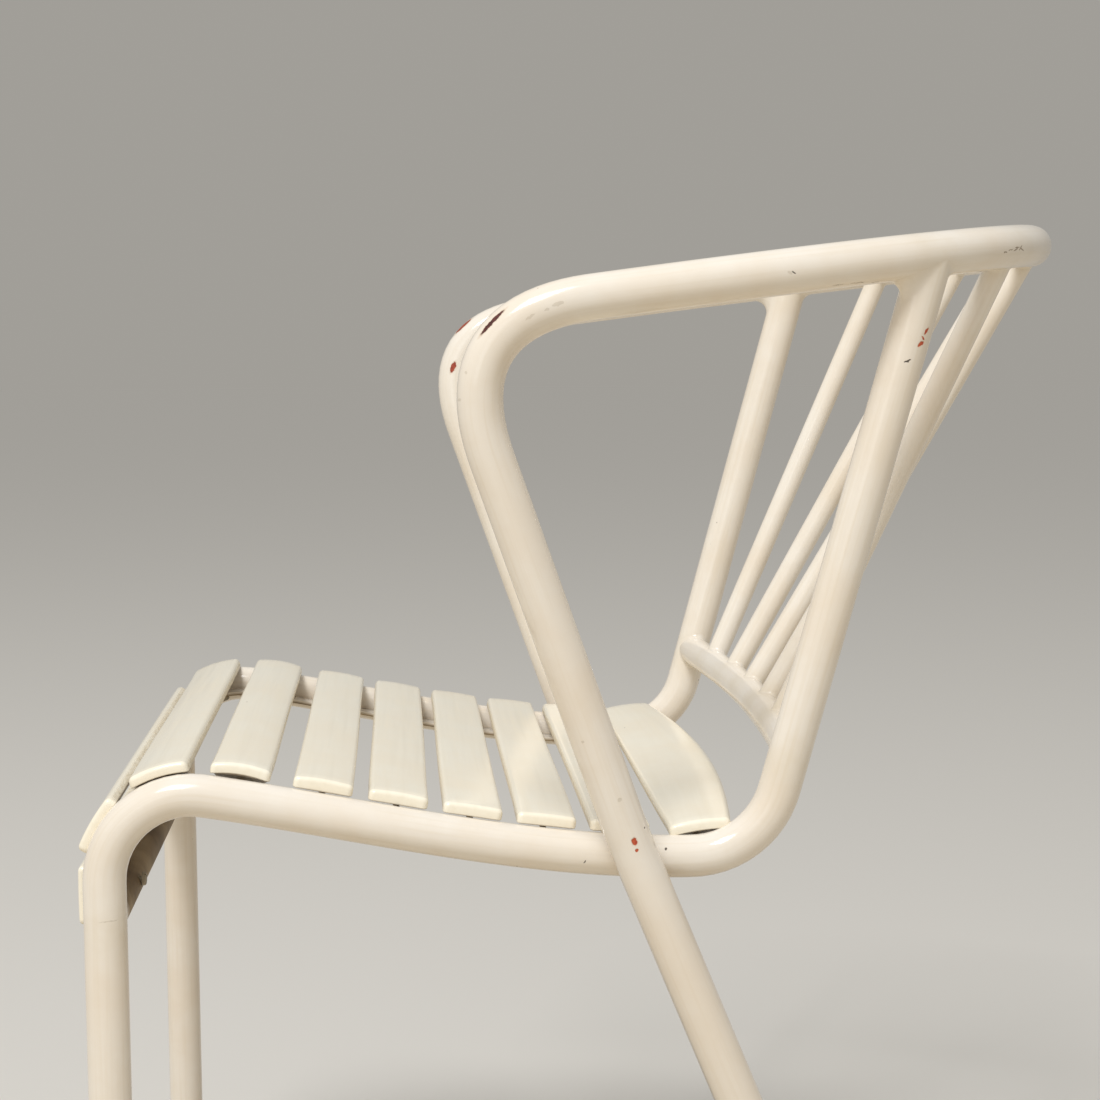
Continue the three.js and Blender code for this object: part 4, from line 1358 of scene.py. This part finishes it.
# %% Slat paint
slat_paint, tree, shader, skin = gloss_paint(
    "gloss_paint_on_wooden_slats", "FDF6E3", "FAF0DA", "F0E5CC", 4, (0.15, 0.21),
)
grain = noise(tree, scaled(tree, skin["unbent"], 180, 5, 5), 1.0, distortion=0.3)["Fac"]
side = noted(tree, "sawn_side")
under = noted(tree, "underside")
sawn = noise(tree, scaled(tree, skin["unbent"], 6, 1.8, 1.8), 5.0, 0.7)["Fac"]
# Tan and dark on the lower sawn sides: bare wood and dirt, and painted shade in the narrow gaps.
tan_wood_and_gap_shade_share = of_two(tree, "MULTIPLY", side, ramp(tree, sawn, 0.42, 0.64, 0.12, 0.6))
dirt_and_gap_shade_share = of_two(tree, "MULTIPLY", side, ramp(tree, sawn, 0.64, 0.72, 0.0, 0.8))
# The undersides are painted brown: dirt, and painted shade under the seat.
underside_dirt_and_shade_share = of_two(tree, "MULTIPLY", under, ramp(tree, skin["cloud"], 0.35, 0.6, 0.7, 1.0))
colour = mix_colour(tree, ramp(tree, grain, 0.5, 0.78, 0.0, 0.2), skin["colour"], linear("EBE1C8"))
colour = mix_colour(tree, skin["speck"], colour, linear("8A7A5E"))
colour = mix_colour(tree, tan_wood_and_gap_shade_share, colour, linear("CDBC9A"))
colour = mix_colour(tree, dirt_and_gap_shade_share, colour, linear("7A654A"))
underside_dirt_and_shade_tone = mix_colour(tree, ramp(tree, sawn, 0.4, 0.65), linear("94836A"), linear("6A5A45"))
colour = mix_colour(tree, underside_dirt_and_shade_share, colour, underside_dirt_and_shade_tone)
bare = of_two(tree, "MAXIMUM", side, under)
roughness = of_two(tree, "ADD", skin["roughness"], ramp(tree, bare, 0, 1, 0.0, 0.3))
height = sum_of(tree, (skin["swell"], 0.06), (skin["speck"], 0.02),
                (of_two(tree, "MULTIPLY", sawn, bare), 0.15))
finish_paint(tree, shader, colour, roughness, height)
print("slat paint", len(tree.nodes), "nodes")

# %% [markdown]
# ### Painted screws and rubber
#
# The screw heads carry a little of the frame's paint, dirty and flaked down to grey steel, and their
# paint is darkened for dirt and as painted shade under the seat. Rubber is nearly black, dull and a
# little chalky, with a fine moulded grain.

# %% Screw paint and rubber
# The screws are painted darker than the frame: dirt, and painted shade under the seat.
screw_paint, tree, shader, skin = gloss_paint(
    "painted_over_steel_screw", "AFA38C", "968A72", "7C6E58", 0.8, (0.35, 0.5),
)
flaked = ramp(tree, noise(tree, scaled(tree, skin["spot"], 2.5, 2.5, 2.5), 4.0)["Fac"], 0.6, 0.66)
colour = mix_colour(tree, flaked, skin["colour"], linear("5E564C"))
height = sum_of(tree, (skin["ridges"], 0.05), (flaked, -0.1))
finish_paint(tree, shader, colour, skin["roughness"], height)

rubber, tree, output = new_material("moulded_rubber")
spot = add_node(tree, "TexCoord").outputs["Object"]
grit = noise(tree, scaled(tree, spot, 1.2, 1.2, 1.2), 3.0)["Fac"]
chalk = noise(tree, scaled(tree, spot, 12, 12, 12), 4.0, 0.6)["Fac"]
shader = add_node(tree, "BsdfPrincipled", {"IOR": 1.52})
tree.links.new(shader.outputs[0], output.inputs["Surface"])
colour = mix_colour(tree, ramp(tree, chalk, 0.45, 0.75, 0.0, 0.6), linear("35322E"), linear("5E5850"))
finish_paint(tree, shader, colour, ramp(tree, chalk, 0.3, 0.7, 0.62, 0.85), sum_of(tree, (grit, 0.12)))
print("screw paint and rubber made")

# %% [markdown]
# ### Materials go on
#
# Every finished piece gets its one material, and it is fixed to the chair's one rigid body, because
# nothing on this chair moves.

# %% Put the materials on and fix the pieces to the chair
def tube_material(piece):
    """The enamel that belongs on a steel piece."""
    if piece == arm_tube:
        return arm_enamel
    return frame_enamel if piece.name.startswith("leg_rail_and_post") else plain_enamel


for pieces, slot_name, material_of in (
    (ENAMEL_PIECES, "enamel", tube_material),
    (SLAT_PIECES, "slat_paint", lambda piece: slat_paint),
    (SCREW_PIECES, "screw", lambda piece: screw_paint),
    (RUBBER_PIECES, "rubber", lambda piece: rubber),
):
    for piece in pieces:
        piece.data.materials.clear()
        piece.data.materials.append(material_of(piece))
        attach(piece, "root")
    print(slot_name, "on", len(pieces), "pieces")

# %% [markdown]
# ## The studio
#
# The chair stands on a wide pale floor under an even pale sky. Far off, the floor is as bright as
# its colour times the sky. The camera sees the sky in just that tone, so no horizon shows from any
# side, and so do reflections. A darker floor colour is used for the light that it throws back up,
# so that the undersides of the tubes keep their shade.

# %% Floor
FLOOR_COLOUR = "DCD8D0"
FLOOR_BOUNCE = "CBBFA9"
FLOOR_RADIUS = 40
SKY_STRENGTH = 0.5


def seen_directly(tree):
    """1 where the camera sees a thing itself, in a reflection or through glass, else 0."""
    path = add_node(tree, "LightPath").outputs
    seen = of_two(tree, "MAXIMUM", path["Is Camera Ray"], path["Is Glossy Ray"])
    return of_two(tree, "MAXIMUM", seen, path["Is Transmission Ray"])


deselect()
bpy.ops.mesh.primitive_circle_add(vertices=96, radius=FLOOR_RADIUS, fill_type="NGON")
floor = bpy.context.object
floor.name = "studio_floor"

paper, tree, output = new_material("pale_studio_paper")
seen = seen_directly(tree)
colour = mix_colour(tree, seen, linear(FLOOR_BOUNCE), linear(FLOOR_COLOUR))
shader = add_node(tree, "BsdfDiffuse", {"Color": colour, "Roughness": 0.0})
tree.links.new(shader.outputs[0], output.inputs["Surface"])
floor.data.materials.append(paper)
print("floor", FLOOR_COLOUR)

# %% [markdown]
# Soft light comes from a large lamp high up on the camera's side, which draws the bright line along
# the top of every tube. A weaker tall lamp by the camera's left draws the line down the posts.

# %% Lamps and sky
def soft_lamp(name, place, target, width, height, power, tint):
    """A rectangular lamp aimed at a point."""
    bpy.ops.object.light_add(type="AREA", location=place)
    lamp = bpy.context.object
    lamp.name = name
    lamp.data.shape = "RECTANGLE"
    lamp.data.size, lamp.data.size_y = width, height
    lamp.data.energy = power
    lamp.data.color = linear(tint)[:3]
    lamp.rotation_euler = (Vector(target) - Vector(place)).to_track_quat("-Z", "Y").to_euler()


CHAIR_MIDDLE = (0, 0, 0.45)
soft_lamp("high_lamp", (2.3, -1.3, 4.4), CHAIR_MIDDLE, 1.5, 1.5, 150, "FCFDFF")
soft_lamp("tall_lamp", (2.2, -1.2, 1.3), CHAIR_MIDDLE, 0.8, 1.5, 4, "FFFFFF")

sky = bpy.data.worlds.new("pale_sky")
bpy.context.scene.world = sky
sky.use_nodes = True
tree = sky.node_tree
tree.nodes.clear()
even = add_node(tree, "Background", {"Color": (1, 1, 1, 1), "Strength": SKY_STRENGTH})
shown = add_node(tree, "Background", {"Color": linear(FLOOR_COLOUR), "Strength": SKY_STRENGTH})
blend = add_node(tree, "MixShader", {0: seen_directly(tree), 1: even.outputs[0], 2: shown.outputs[0]})
add_node(tree, "OutputWorld", {"Surface": blend.outputs[0]})
bpy.context.scene.view_settings.view_transform = "Standard"
print("two lamps and the sky")
